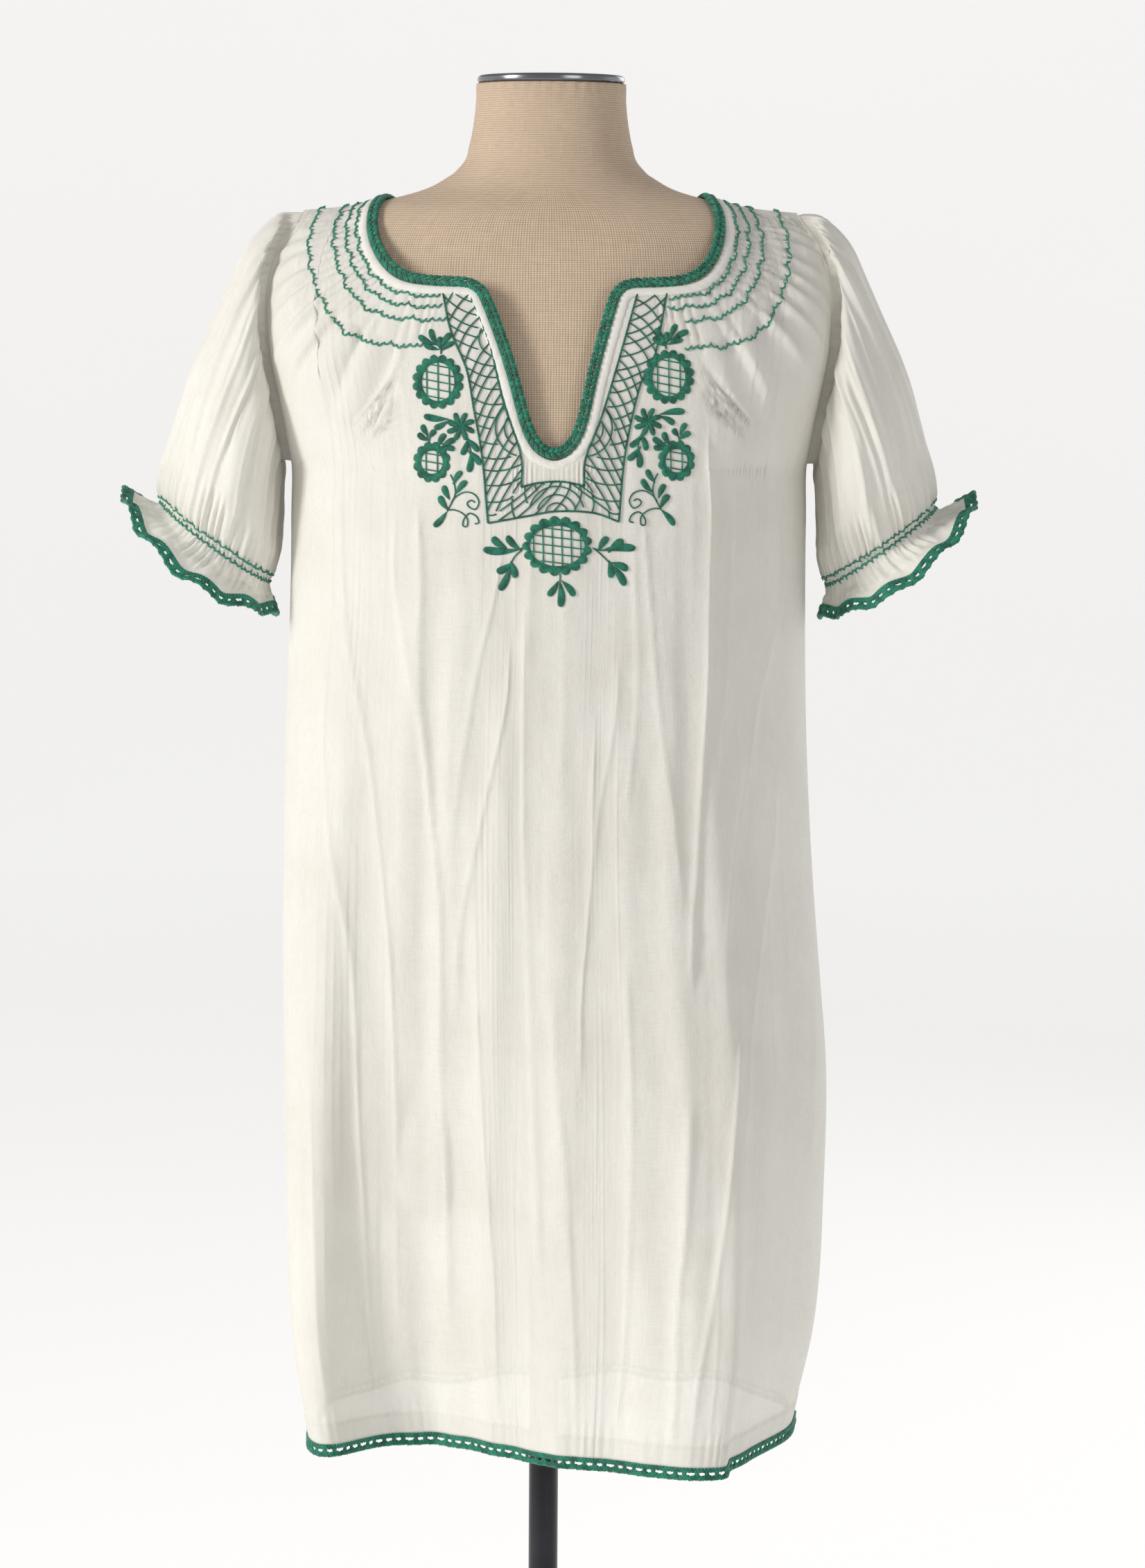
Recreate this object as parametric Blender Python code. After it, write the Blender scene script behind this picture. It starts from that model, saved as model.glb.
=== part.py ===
"""Short ivory voile dress with crocheted edges, worn by a linen-covered dress form on a round base.

Metres, +Z up, the front of the dress faces -Y, and the floor is z = 0 under the middle of the base.
Cloth is a wall of CLOTH thickness: a middle surface is worked out first, then moved out and in.
"""

import math

import bpy
import numpy as np

CLOTH = 0.0012          # wall of the voile
SEAM = 0.0003           # gap between two sewn pieces
HEM_Z = 0.6240          # lower edge of the cloth, above the crocheted edging
HEM_TURN = 0.0145       # height of the turned hem
EDGING = 0.0078         # width of the crocheted edging
EDGING_THICK = 0.0022
BINDING = 0.0062        # width of the neck binding
CHEST_Z = 1.28          # under this height the cloth hangs free
ARMHOLE_LOW = 1.292
SHOULDER_END = (0.170, 1.4665)
POLE_RADIUS = 0.0103
BASE_RADIUS = 0.180
BASE_HEIGHT = 0.010
TORSO_LOW = 0.775
NECK_TOP = 1.5535

POLE_FOOT = 0.034
NECK_EDGE = EDGING / 2 + 0.0011   # from the middle of the neck edging to the edge of the cloth
BINDING_LOW = 0.0020
BINDING_HIGH = 0.0028
HEM_FOLD = 0.0005
CUFF_GAP = 0.0005
SMOCK_HEIGHT = 0.0005
SMOCK_FROM = 0.40       # share of the width where the smocking starts
SMOCK_ROWS = 6
FAN_FROM = 0.57
FAN_TO = 0.82
ARMHOLE_IN = 0.00095    # the sleeve starts this far inside the armhole's edge
TOP_SETTLE = 0.010
EASE = 0.0040           # from the form to the middle of the cloth, at the least
HIP_EASE = 0.0050
SEAT = 0.0015           # the same straight down, on top of the shoulders
ARMHOLE_END = 0.0016
ARMHOLE_HALF = 0.046    # widest half opening of the armhole, front to back
ARMHOLE_ROUND = 0.7
FRONT_ROUND = 2.1       # how square the front turns over the shoulder; 2 is an ellipse
BACK_ROUND = 2.6
PLAN_ROUND = 2.3        # the same for the dress seen from above
SKIRT_Z = 1.22          # from here down the cloth falls towards the line of its lower edge
FALL_POWER = 1.4
HIP_Z = 1.25            # from here down the ease grows, over HIP_OVER
HIP_OVER = 0.20
TUCK = 0.006            # height under the top of the shoulder over which the ease starts
TOUCH_FROM = 0.012      # depth of the form over which its ease starts
FORM_END = 0.08         # height over which the form stops to push the cloth out
SIDES_Z = 1.29          # the width follows SIDES under this height, blended over SIDES_OVER
SIDES_OVER = 0.05
BINDING_GAP = 0.0012    # from the edge of the cloth to the binding
FIRST_DROP = 2e-7
PROFILE_REACH = 0.34
SLEEVE_OUT = 0.0060     # the sleeve leaves the armhole straight for this long
SLEEVE_CLEAR = 0.0065
CAP_RADIUS = 0.0505
CAP_TOP = 1.5592
CAP_DEPTH = 0.86
FLANGE_RADIUS = 0.032
FLANGE_HEIGHT = 0.006
SOCKET_RADIUS = 0.030
BEVEL = 0.001
TOP_ROWS = (0, 0.007, 0.016, 0.028, 0.044, 0.064, 0.088, 0.116, 0.146, 0.178)
BODY_ROWS = 7
SLIT_STEPS = 9
NECK_STEPS = 14
BACK_NECK_STEPS = 10
SHOULDER_STEPS = 8
SLEEVE_STEPS = 44
TORSO_STEPS = 28

# height, half width, depth to the front, depth to the back
TORSO_RINGS = (
    (TORSO_LOW, 0.1610, 0.0970, 0.1110),
    (0.787, 0.1645, 0.1010, 0.1150),
    (0.815, 0.1665, 0.1050, 0.1190),
    (0.860, 0.1660, 0.1070, 0.1210),
    (0.910, 0.1620, 0.1070, 0.1160),
    (0.960, 0.1540, 0.1030, 0.1050),
    (1.010, 0.1440, 0.0980, 0.0920),
    (1.060, 0.1310, 0.0930, 0.0810),
    (1.100, 0.1250, 0.0920, 0.0770),
    (1.150, 0.1310, 0.0980, 0.0800),
    (1.200, 0.1420, 0.1080, 0.0860),
    (1.240, 0.1500, 0.1180, 0.0930),
    (1.270, 0.1530, 0.1220, 0.0980),
    (1.300, 0.1560, 0.1210, 0.1020),
    (1.340, 0.1610, 0.1130, 0.1050),
    (1.370, 0.1660, 0.1040, 0.1050),
    (1.400, 0.1690, 0.0930, 0.1010),
    (1.430, 0.1680, 0.0810, 0.0930),
    (1.448, 0.1620, 0.0730, 0.0840),
    (1.461, 0.1500, 0.0650, 0.0750),
    (1.469, 0.1320, 0.0590, 0.0680),
    (1.4745, 0.1100, 0.0540, 0.0620),
    (1.4800, 0.0900, 0.0500, 0.0570),
    (1.4890, 0.0720, 0.0470, 0.0520),
    (1.5000, 0.0600, 0.0450, 0.0490),
    (1.5110, 0.0565, 0.0440, 0.0470),
    (1.5300, 0.0530, 0.0430, 0.0460),
    (NECK_TOP, 0.0512, 0.0420, 0.0450),
)

# height, half width of the dress, depth to the front, depth to the back, where the cloth hangs smooth
DRESS_RINGS = (
    (0.600, 0.1950, 0.1300, 0.1360),
    (0.900, 0.1900, 0.1350, 0.1370),
    (1.050, 0.1840, 0.1340, 0.1300),
    (1.180, 0.1800, 0.1320, 0.1200),
    (1.250, 0.1790, 0.1300, 0.1160),
    (1.292, 0.1785, 0.1270, 0.1140),
    (1.330, 0.1840, 0.1260, 0.1140),
    (1.375, 0.1920, 0.1260, 0.1140),
    (1.410, 0.1930, 0.1260, 0.1140),
    (1.440, 0.1860, 0.1260, 0.1140),
    (1.4665, 0.1700, 0.1260, 0.1140),
)

# half distance from the middle of the body, height of the top of the shoulder
SHOULDER_LINE = (
    (0.000, 1.4850),
    (0.060, 1.4830),
    (0.100, 1.4790),
    (0.112, 1.4756),
    (0.130, 1.4709),
    (0.150, 1.4682),
    SHOULDER_END,
)

# height, left edge and right edge of the dress as the front shows it
SIDES = (
    (0.600, -0.1600, 0.1740),
    (0.624, -0.1635, 0.1775),
    (0.680, -0.1735, 0.1895),
    (0.790, -0.1800, 0.1965),
    (0.875, -0.1825, 0.1970),
    (0.930, -0.1830, 0.1925),
    (1.014, -0.1835, 0.1855),
    (1.120, -0.1820, 0.1800),
    (1.210, -0.1790, 0.1785),
    (1.290, -0.1785, 0.1785),
)

# the lower edge seen from above, from the left side seam to the right one: share of the width, x, y
HEM_FRONT = (
    (-1.00, -0.159, 0.000),
    (-0.86, -0.1645, -0.050),
    (-0.74, -0.1625, -0.092),
    (-0.60, -0.146, -0.108),
    (-0.46, -0.112, -0.078),
    (-0.30, -0.072, -0.072),
    (-0.16, -0.034, -0.100),
    (0.00, 0.004, -0.132),
    (0.16, 0.048, -0.148),
    (0.32, 0.094, -0.167),
    (0.46, 0.121, -0.163),
    (0.56, 0.129, -0.137),
    (0.70, 0.148, -0.098),
    (0.85, 0.170, -0.048),
    (1.00, 0.1775, 0.000),
)
HEM_BACK = (
    (-1.00, -0.159, 0.000),
    (-0.84, -0.153, 0.052),
    (-0.68, -0.128, 0.088),
    (-0.50, -0.098, 0.124),
    (-0.34, -0.066, 0.112),
    (-0.16, -0.028, 0.142),
    (0.02, 0.012, 0.128),
    (0.20, 0.052, 0.150),
    (0.38, 0.092, 0.122),
    (0.54, 0.124, 0.130),
    (0.70, 0.150, 0.086),
    (0.86, 0.171, 0.050),
    (1.00, 0.1775, 0.000),
)

# middle line of the neck edging over the front, right half: x, z. The corner of the slit is NECK_CORNER.
NECK_CORNER = 7
NECK_FRONT = (
    (0.0000, 1.2998),
    (0.0130, 1.3080),
    (0.0195, 1.3256),
    (0.0244, 1.3465),
    (0.0307, 1.3698),
    (0.0383, 1.3930),
    (0.0435, 1.4080),
    (0.0478, 1.4160),
    (0.0640, 1.4165),
    (0.0820, 1.4172),
    (0.0990, 1.4205),
    (0.1106, 1.4320),
    (0.1168, 1.4460),
    (0.1186, 1.4590),
    (0.1165, 1.4690),
    (0.1120, 1.4750),
)
# the same over the back, from the shoulder to the middle
NECK_BACK = (
    (0.1070, 1.4725),
    (0.0980, 1.4695),
    (0.0770, 1.4668),
    (0.0520, 1.4650),
    (0.0260, 1.4640),
    (0.0000, 1.4635),
)

# height, how far the middle of the yoke sits to the right
SWAY = ((1.05, 0.0), (1.20, 0.0035), (1.33, 0.0035), (1.41, 0.0), (1.465, -0.0055), (1.48, -0.006))

# raised folds of the skirt: share of the width at the yoke and at the hem, top height, half width, height
FRONT_FOLDS = (
    (-0.72, -0.80, 1.20, 0.060, 0.0030),
    (-0.50, -0.56, 1.26, 0.050, 0.0035),
    (-0.36, -0.40, 1.24, 0.045, 0.0030),
    (-0.15, -0.24, 1.19, 0.050, 0.0035),
    (0.06, 0.04, 1.16, 0.050, 0.0030),
    (0.26, 0.34, 1.20, 0.055, 0.0030),
    (0.42, 0.50, 1.24, 0.050, 0.0040),
    (0.58, 0.66, 1.26, 0.045, 0.0035),
    (0.74, 0.80, 1.20, 0.050, 0.0030),
)
BACK_FOLDS = (
    (-0.70, -0.76, 1.24, 0.060, 0.0035),
    (-0.44, -0.50, 1.28, 0.055, 0.0040),
    (-0.20, -0.26, 1.26, 0.050, 0.0035),
    (0.03, 0.02, 1.27, 0.055, 0.0040),
    (0.27, 0.34, 1.28, 0.050, 0.0035),
    (0.50, 0.56, 1.26, 0.055, 0.0040),
    (0.74, 0.78, 1.22, 0.060, 0.0030),
)

# share of the way from armhole to frill; outer line x, z; inner line x, z; half depth
SLEEVE_RINGS = (
    (0.08, 0.1850, 1.4640, 0.1845, 1.2920, 0.0500),
    (0.20, 0.2010, 1.4500, 0.1850, 1.2860, 0.0620),
    (0.36, 0.2170, 1.4180, 0.1860, 1.2740, 0.0730),
    (0.52, 0.2350, 1.3780, 0.1860, 1.2600, 0.0770),
    (0.68, 0.2500, 1.3400, 0.1860, 1.2460, 0.0760),
    (0.82, 0.2610, 1.3020, 0.1870, 1.2330, 0.0700),
    (0.93, 0.2680, 1.2760, 0.1910, 1.2190, 0.0610),
    (1.00, 0.2680, 1.2650, 0.1945, 1.2110, 0.0550),
    (1.05, 0.2730, 1.2620, 0.1950, 1.2050, 0.0565),
    (1.12, 0.2830, 1.2660, 0.1925, 1.1990, 0.0650),
    (1.18, 0.2890, 1.2690, 0.1910, 1.1950, 0.0700),
)
# folds down the sleeve: turn round it in degrees (0 is the outer line, 90 the front), half width, height
SLEEVE_FOLDS = (
    (14, 13, 0.0035), (44, 11, 0.0045), (70, 10, 0.0035), (98, 11, 0.0045), (124, 10, 0.0030),
    (228, 12, 0.0035), (256, 11, 0.0045), (284, 10, 0.0035), (312, 12, 0.0045), (340, 11, 0.0030),
)
FRILL_WAVES = 11
FRILL_HEIGHT = 0.0045


def smooth(table, at, column=1):
    """Cubic curve through one column of a table whose first column rises."""
    knots = np.array([row[0] for row in table], float)
    values = np.array([row[column] for row in table], float)
    slopes = np.gradient(values, knots)
    at = np.clip(np.asarray(at, float), knots[0], knots[-1])
    i = np.clip(np.searchsorted(knots, at) - 1, 0, len(knots) - 2)
    step = knots[i + 1] - knots[i]
    t = (at - knots[i]) / step
    rise = t * t * (3 - 2 * t)
    return (
        values[i] * (1 - rise)
        + values[i + 1] * rise
        + step * t * (1 - t) * (slopes[i] * (1 - t) - slopes[i + 1] * t)
    )


def ease(t):
    t = np.clip(t, 0, 1)
    return t * t * (3 - 2 * t)


def torso_depth(x, z, column):
    """How far the form reaches from its middle plane to the front (column 2) or to the back (3)."""
    half = smooth(TORSO_RINGS, z, 1)
    inside = np.clip(1 - (x / half) ** 2, 0, 1)
    return np.where(z > NECK_TOP, 0, smooth(TORSO_RINGS, z, column) * np.sqrt(inside))


def armhole_half(z):
    """Half of the armhole's opening from front to back at a height."""
    t = np.clip((z - ARMHOLE_LOW) / (SHOULDER_END[1] - ARMHOLE_LOW), 0, 1)
    return ARMHOLE_HALF * np.sin(np.pi * t) ** ARMHOLE_ROUND


def cloth_x(s, z):
    """Sideways place of share s of the width at a height. The yoke sits a little to one side."""
    return smooth(DRESS_RINGS, z, 1) * s + smooth(SWAY, z) * (1 - np.clip(s * s, 0, 1))


def dress_point(s, z, back):
    """Middle surface of a panel at share s of the width (-1 to 1) and height z, without its folds."""
    s = np.asarray(s, float)
    z = np.asarray(z, float)
    side = 3 if back else 2
    x = cloth_x(s, z)
    top = smooth(SHOULDER_LINE, np.abs(x))
    bulge = BACK_ROUND if back else FRONT_ROUND
    share = np.clip((z - CHEST_Z) / (top - CHEST_Z), 0, 1)
    over = (1 - share**bulge) ** (1 / bulge)
    ring = np.clip(1 - np.abs(s) ** PLAN_ROUND, 0, 1) ** (1 / PLAN_ROUND)
    edge = armhole_half(z)
    depth = edge + (smooth(DRESS_RINGS, z, side) - edge) * ring
    depth = np.maximum(edge, depth * over)
    hem = HEM_BACK if back else HEM_FRONT
    q = np.arcsin(np.clip(s, -1, 1)) * 2 / math.pi
    fall = np.clip((SKIRT_Z - z) / (SKIRT_Z - HEM_Z), 0, 1) ** FALL_POWER
    depth = depth * (1 - fall) + np.abs(smooth(hem, q, 2)) * fall
    x = x * (1 - fall) + smooth(hem, q, 1) * fall
    # the cloth never comes closer to the form than its own thickness
    room = EASE + (HIP_EASE - EASE) * ease((HIP_Z - z) / HIP_OVER)
    room = room * np.clip((top - z) / TUCK, 0, 1) ** 0.5
    torso = torso_depth(x, z - SEAT, side)
    touch = (torso + room * ease(torso / TOUCH_FROM)) * ease((z - TORSO_LOW + FORM_END) / FORM_END)
    depth = np.where(z >= top - 1e-7, 0, np.maximum(depth, touch))
    return x, depth if back else -depth, z


def silhouette_scale():
    """For a list of heights, what brings the widest points of each side to SIDES."""
    rows = []
    s = np.sin(np.linspace(-1, 1, 121) * math.pi / 2)
    for z in np.linspace(SIDES[0][0], SIDES[-1][0], 47):
        front = dress_point(s, np.full_like(s, z), False)[0]
        back = dress_point(s, np.full_like(s, z), True)[0]
        least = min(front.min(), back.min())
        most = max(front.max(), back.max())
        rows.append((z, smooth(SIDES, z, 1) / least, smooth(SIDES, z, 2) / most))
    return rows


SCALE = silhouette_scale()


def fold_height(s, z, folds):
    total = np.zeros_like(s)
    for s_top, s_low, z_top, width, height in folds:
        t = np.clip((z_top - z) / (z_top - HEM_Z), 0, 1)
        middle = s_top + (s_low - s_top) * t
        grow = ease((z_top - z) / 0.12)
        total += height * grow * np.exp(-(((s - middle) / width) ** 2))
    return total


def sheet(s, z, back):
    """Middle surface with the silhouette brought to size, as an array of points."""
    x, y, z = dress_point(s, z, back)
    left = np.interp(z, [r[0] for r in SCALE], [r[1] for r in SCALE])
    right = np.interp(z, [r[0] for r in SCALE], [r[2] for r in SCALE])
    fade = ease((SIDES_Z - z) / SIDES_OVER)
    x = x * np.where(x < 0, 1 + (left - 1) * fade, 1 + (right - 1) * fade)
    return np.stack([x, y, z + 0 * x], -1)


def normals_of(points, up_first):
    """Unit normals of a grid of points: rows run down, columns run along."""
    down = np.gradient(points, axis=0)
    along = np.gradient(points, axis=1)
    n = np.cross(along, down) if up_first else np.cross(down, along)
    return n / np.maximum(np.linalg.norm(n, axis=2, keepdims=True), 1e-12)


def material(name, colour, roughness, metallic=0.0):
    found = bpy.data.materials.new(name)
    found.use_nodes = True
    shader = found.node_tree.nodes["Principled BSDF"]
    shader.inputs["Base Color"].default_value = (*colour, 1)
    shader.inputs["Roughness"].default_value = roughness
    shader.inputs["Metallic"].default_value = metallic
    return found


def solid(name, points, faces, look):
    """One mesh object, its faces turned outwards."""
    points = np.asarray(points, float)
    faces = np.asarray(faces, int)
    corners = points[faces]
    if np.einsum("ij,ij->i", corners[:, 0], np.cross(corners[:, 1], corners[:, 2])).sum() < 0:
        faces = faces[:, ::-1]
    mesh = bpy.data.meshes.new(name)
    mesh.from_pydata(points.tolist(), [], faces.tolist())
    mesh.materials.append(look)
    made = bpy.data.objects.new(name, mesh)
    bpy.context.scene.collection.objects.link(made)
    return made


def grid_faces(rows, columns, start, closed):
    """Triangles of a grid whose points start at index `start`."""
    faces = []
    for r in range(rows - 1):
        for c in range(columns if closed else columns - 1):
            d = (c + 1) % columns
            a, b = start + r * columns + c, start + r * columns + d
            e, f = a + columns, b + columns
            faces += [(a, b, f), (a, f, e)]
    return faces


def wall(name, outer, inner, look, closed=False):
    """A closed body between two grids of points. A closed grid joins its last column to its first."""
    rows, columns = outer.shape[:2]
    count = rows * columns
    faces = grid_faces(rows, columns, 0, closed)
    faces += [f[::-1] for f in grid_faces(rows, columns, count, closed)]

    def rim(path):
        for a, b in zip(path, path[1:]):
            faces.extend([(a, a + count, b + count), (a, b + count, b)])

    top = list(range(columns)) + ([0] if closed else [])
    low = [(rows - 1) * columns + c for c in top]
    rim(top)
    rim(low[::-1])
    if not closed:
        rim([r * columns + columns - 1 for r in range(rows)])
        rim([r * columns for r in range(rows)][::-1])
    return solid(name, np.concatenate([outer.reshape(-1, 3), inner.reshape(-1, 3)]), faces, look)


def stack(name, rings, look):
    """A solid through closed rings of points, flat at both ends."""
    rings = np.asarray(rings, float)
    rows, columns = rings.shape[:2]
    faces = grid_faces(rows, columns, 0, True)
    points = list(rings.reshape(-1, 3)) + [rings[0].mean(0), rings[-1].mean(0)]
    for c in range(columns):
        d = (c + 1) % columns
        faces.append((d, c, rows * columns))
        faces.append(((rows - 1) * columns + c, (rows - 1) * columns + d, rows * columns + 1))
    return solid(name, points, faces, look)


def turned(name, profile, look, steps=48, depth=1.0):
    """A body turned about the upright axis: radius, height from the bottom up."""
    turn = np.linspace(0, 2 * math.pi, steps, endpoint=False)
    rings = [[(r * math.cos(a), depth * r * math.sin(a), z) for a in turn] for r, z in profile]
    return stack(name, rings, look)


def ridge_height(x):
    """Height of the top of the shoulder at a distance x from the middle of the garment."""
    z = SHOULDER_END[1]
    for _ in range(40):
        z = smooth(SHOULDER_LINE, np.abs(cloth_x(x / smooth(DRESS_RINGS, z, 1), z)))
    return z


def profile(x, back):
    """Heights down a panel from the top of the shoulder at x, and how much cloth lies above each."""
    top = ridge_height(x)
    z = top - np.concatenate([[0], np.geomspace(FIRST_DROP, PROFILE_REACH, 300)])
    points = sheet(x / smooth(DRESS_RINGS, z, 1), z, back)
    steps = np.linalg.norm(np.diff(points, axis=0), axis=1)
    return z, np.concatenate([[0], np.cumsum(steps)])


def even(path, steps):
    """A path walked in equal steps."""
    walked = np.concatenate([[0], np.cumsum(np.linalg.norm(np.diff(path, axis=0), axis=1))])
    at = np.linspace(0, walked[-1], steps + 1)
    return np.stack([np.interp(at, walked, path[:, 0]), np.interp(at, walked, path[:, 1])], -1)


def neck_line(side):
    """The neck line of one half, flat: x and the cloth from the shoulder, less than 0 in front."""
    rows = [(i, *p) for i, p in enumerate(NECK_FRONT)]
    low = np.linspace(0, NECK_CORNER, SLIT_STEPS + 1)
    high = np.linspace(NECK_CORNER, len(rows) - 1, 41)
    first, last = rows[: NECK_CORNER + 1], rows[NECK_CORNER:]
    x = np.concatenate([smooth(first, low, 1), smooth(last, high, 1)[1:]])
    z = np.concatenate([smooth(first, low, 2), smooth(last, high, 2)[1:]])
    back_rows = [(i, *p) for i, p in enumerate(NECK_BACK)]
    at = np.linspace(0, len(back_rows) - 1, 31)
    flat = []
    for px, pz in zip(x, z):
        heights, lengths = profile(side * px, False)
        flat.append((px, -np.interp(-pz, -heights, lengths)))
    flat[-1] = (x[-1], 0.0)
    shoulder = len(flat) - 1
    for px, pz in zip(smooth(back_rows, at, 1), smooth(back_rows, at, 2)):
        heights, lengths = profile(side * px, True)
        flat.append((px, np.interp(-pz, -heights, lengths)))
    flat = np.array(flat)
    slit, front, back = flat[: SLIT_STEPS + 1], flat[SLIT_STEPS : shoulder + 1], flat[shoulder:]
    front, back = even(front, NECK_STEPS), even(back, BACK_NECK_STEPS)
    return np.concatenate([slit, front[1:], back[1:]])


def moved_aside(flat, distance):
    """A flat neck line moved away from the opening. Both ends stay in the middle of the body."""
    along = np.gradient(flat, axis=0)
    along[[0, -1]] = (1, 0), (-1, 0)
    along /= np.linalg.norm(along, axis=1, keepdims=True)
    moved = flat + distance * np.stack([along[:, 1], -along[:, 0]], -1)
    moved[SLIT_STEPS + NECK_STEPS, 1] = 0
    return moved


def neck_spots(side, distance):
    """Share of the width and height of each station of one half of the neck line, moved aside."""
    spots = []
    for x, cloth in moved_aside(FLAT_NECK[side], distance):
        back = cloth > 0
        heights, lengths = profile(side * x, back)
        z = np.interp(abs(cloth), lengths, heights)
        spots.append((side * x / smooth(DRESS_RINGS, z, 1), z))
    return np.array(spots)


def neck_loop(distance):
    """The neck line moved over the cloth: over the front from left to right, then over the back."""
    shoulder = SLIT_STEPS + NECK_STEPS
    right, left = neck_spots(1, distance), neck_spots(-1, distance)
    front = np.concatenate([left[shoulder:0:-1], right[: shoulder + 1]])
    back = np.concatenate([right[shoulder + 1 :], left[-2:shoulder:-1]])
    return np.concatenate([sheet(*front.T, False), sheet(*back.T, True)])


def panel_columns(side, back):
    """For one half: share low down, share at the top and height at the top of each column."""
    shoulder = SLIT_STEPS + NECK_STEPS
    spots = neck_spots(side, NECK_EDGE)
    spots = spots[:shoulder - 1 : -1] if back else spots[: shoulder + 1]
    top, z = np.abs(spots[:, 0]), spots[:, 1]
    # beside the neck the columns stand one over another, so lower down they fan out
    fan = int(np.argmax(top > FAN_FROM))
    low = np.concatenate([top[:fan], np.linspace(top[fan], FAN_TO, len(top) - fan)])
    s = np.sin(np.linspace(math.asin(low[-1]), math.pi / 2, SHOULDER_STEPS + 1)[1:])
    x = top[-1] * smooth(DRESS_RINGS, z[-1], 1)
    x = x + (SHOULDER_END[0] - x) * (s - low[-1]) / (1 - low[-1])
    seam_z = np.array([ridge_height(side * v) for v in x])
    seam_top = x / smooth(DRESS_RINGS, seam_z, 1)
    seam_top[-1] = 1
    low = np.concatenate([low, s])
    return side * low, side * np.concatenate([top, seam_top]), np.concatenate([z, seam_z])


def panel_grid(low, top, top_z, back):
    """Shares and heights of a panel's grid, its rows spaced along the cloth of each column."""
    shares, heights = [], []
    for s_low, s_top, z_top in zip(low, top, top_z):
        drop = np.concatenate([[0], np.geomspace(FIRST_DROP, z_top - HEM_Z, 400)])
        z = z_top - drop
        s = s_top + (s_low - s_top) * ease(drop / TOP_SETTLE)
        length = np.linalg.norm(np.diff(sheet(s, z, back), axis=0), axis=1)
        length = np.concatenate([[0], np.cumsum(length)])
        body = length[-1] - HEM_TURN - TOP_ROWS[-1]
        low_rows = TOP_ROWS[-1] + body * np.linspace(0, 1, BODY_ROWS + 1)[1:]
        wanted = np.concatenate([TOP_ROWS, low_rows, [length[-1]]])
        shares.append(np.interp(wanted, length, s))
        heights.append(np.interp(wanted, length, z))
    return np.array(shares).T, np.array(heights).T


def make_panel(name, back, folds, look):
    """One panel. Returns the middle points and the normals of all of it."""
    right, left = panel_columns(1, back), panel_columns(-1, back)
    low, top, top_z = (np.concatenate([b[:0:-1], a]) for a, b in zip(right, left))
    s, z = panel_grid(low, top, top_z, back)
    middle = sheet(s, z, back)
    n = normals_of(middle, not back)
    # the side seams and the shoulder seams meet square, so that both panels clear each other
    shoulder = np.abs(middle[0, :, 1]) < 1e-6
    n[:, [0, -1], 1] = 0
    n[0, shoulder, 1] = 0
    n[0, [0, -1]] = n[1, [0, -1]]
    n /= np.linalg.norm(n, axis=2, keepdims=True)
    middle = middle + n * fold_height(s, z, folds)[..., None] * (1 - np.abs(s[..., None]) ** 8)
    middle[..., 1] += SEAM / 2 if back else -SEAM / 2
    thick = np.full(s.shape, CLOTH / 2)
    thick[-2:] += HEM_FOLD
    raised = thick.copy()
    # the gathers under the smocking stand out of the wall, which stays plain inside
    gathered = (np.abs(s) > SMOCK_FROM) & (np.arange(len(low)) % 2 == 0)[None, :]
    gathered[[0, 1]] = False
    gathered[SMOCK_ROWS:] = False
    raised[gathered] += SMOCK_HEIGHT
    wall(name, middle + n * raised[..., None], middle - n * CLOTH / 2, look)
    return middle, n


def strip(name, inner_side, outer_side, low, high, look):
    """A closed band round the neck between two lines of points, from `low` to `high` off the cloth."""
    along = np.roll(inner_side, -1, 0) - np.roll(inner_side, 1, 0)
    across = outer_side - inner_side
    n = np.cross(across, along)
    n /= np.linalg.norm(n, axis=1, keepdims=True)
    rows = np.stack([inner_side, (inner_side + outer_side) / 2, outer_side])
    return wall(name, rows + n * high, rows + n * low, look, closed=True)


def closed_normals(points):
    """Outward unit normals of a tube: rows run along it, columns round it."""
    along = np.gradient(points, axis=0)
    around = np.roll(points, -1, 1) - np.roll(points, 1, 1)
    n = np.cross(along, around)
    n /= np.linalg.norm(n, axis=2, keepdims=True)
    out = ((points - points.mean(1, keepdims=True)) * n).sum()
    return n if out > 0 else -n


def armhole(panels, z):
    """x and half of the opening at heights z, along the straight edges that the panels' walls have."""
    x, half = [], []
    for middle, _ in panels:
        edge = middle[:, -1]
        x.append(np.interp(-z, -edge[:, 2], edge[:, 0]))
        half.append(np.interp(-z, -edge[:, 2], np.abs(edge[:, 1])))
    return np.minimum(*x), np.minimum(*half)


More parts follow.
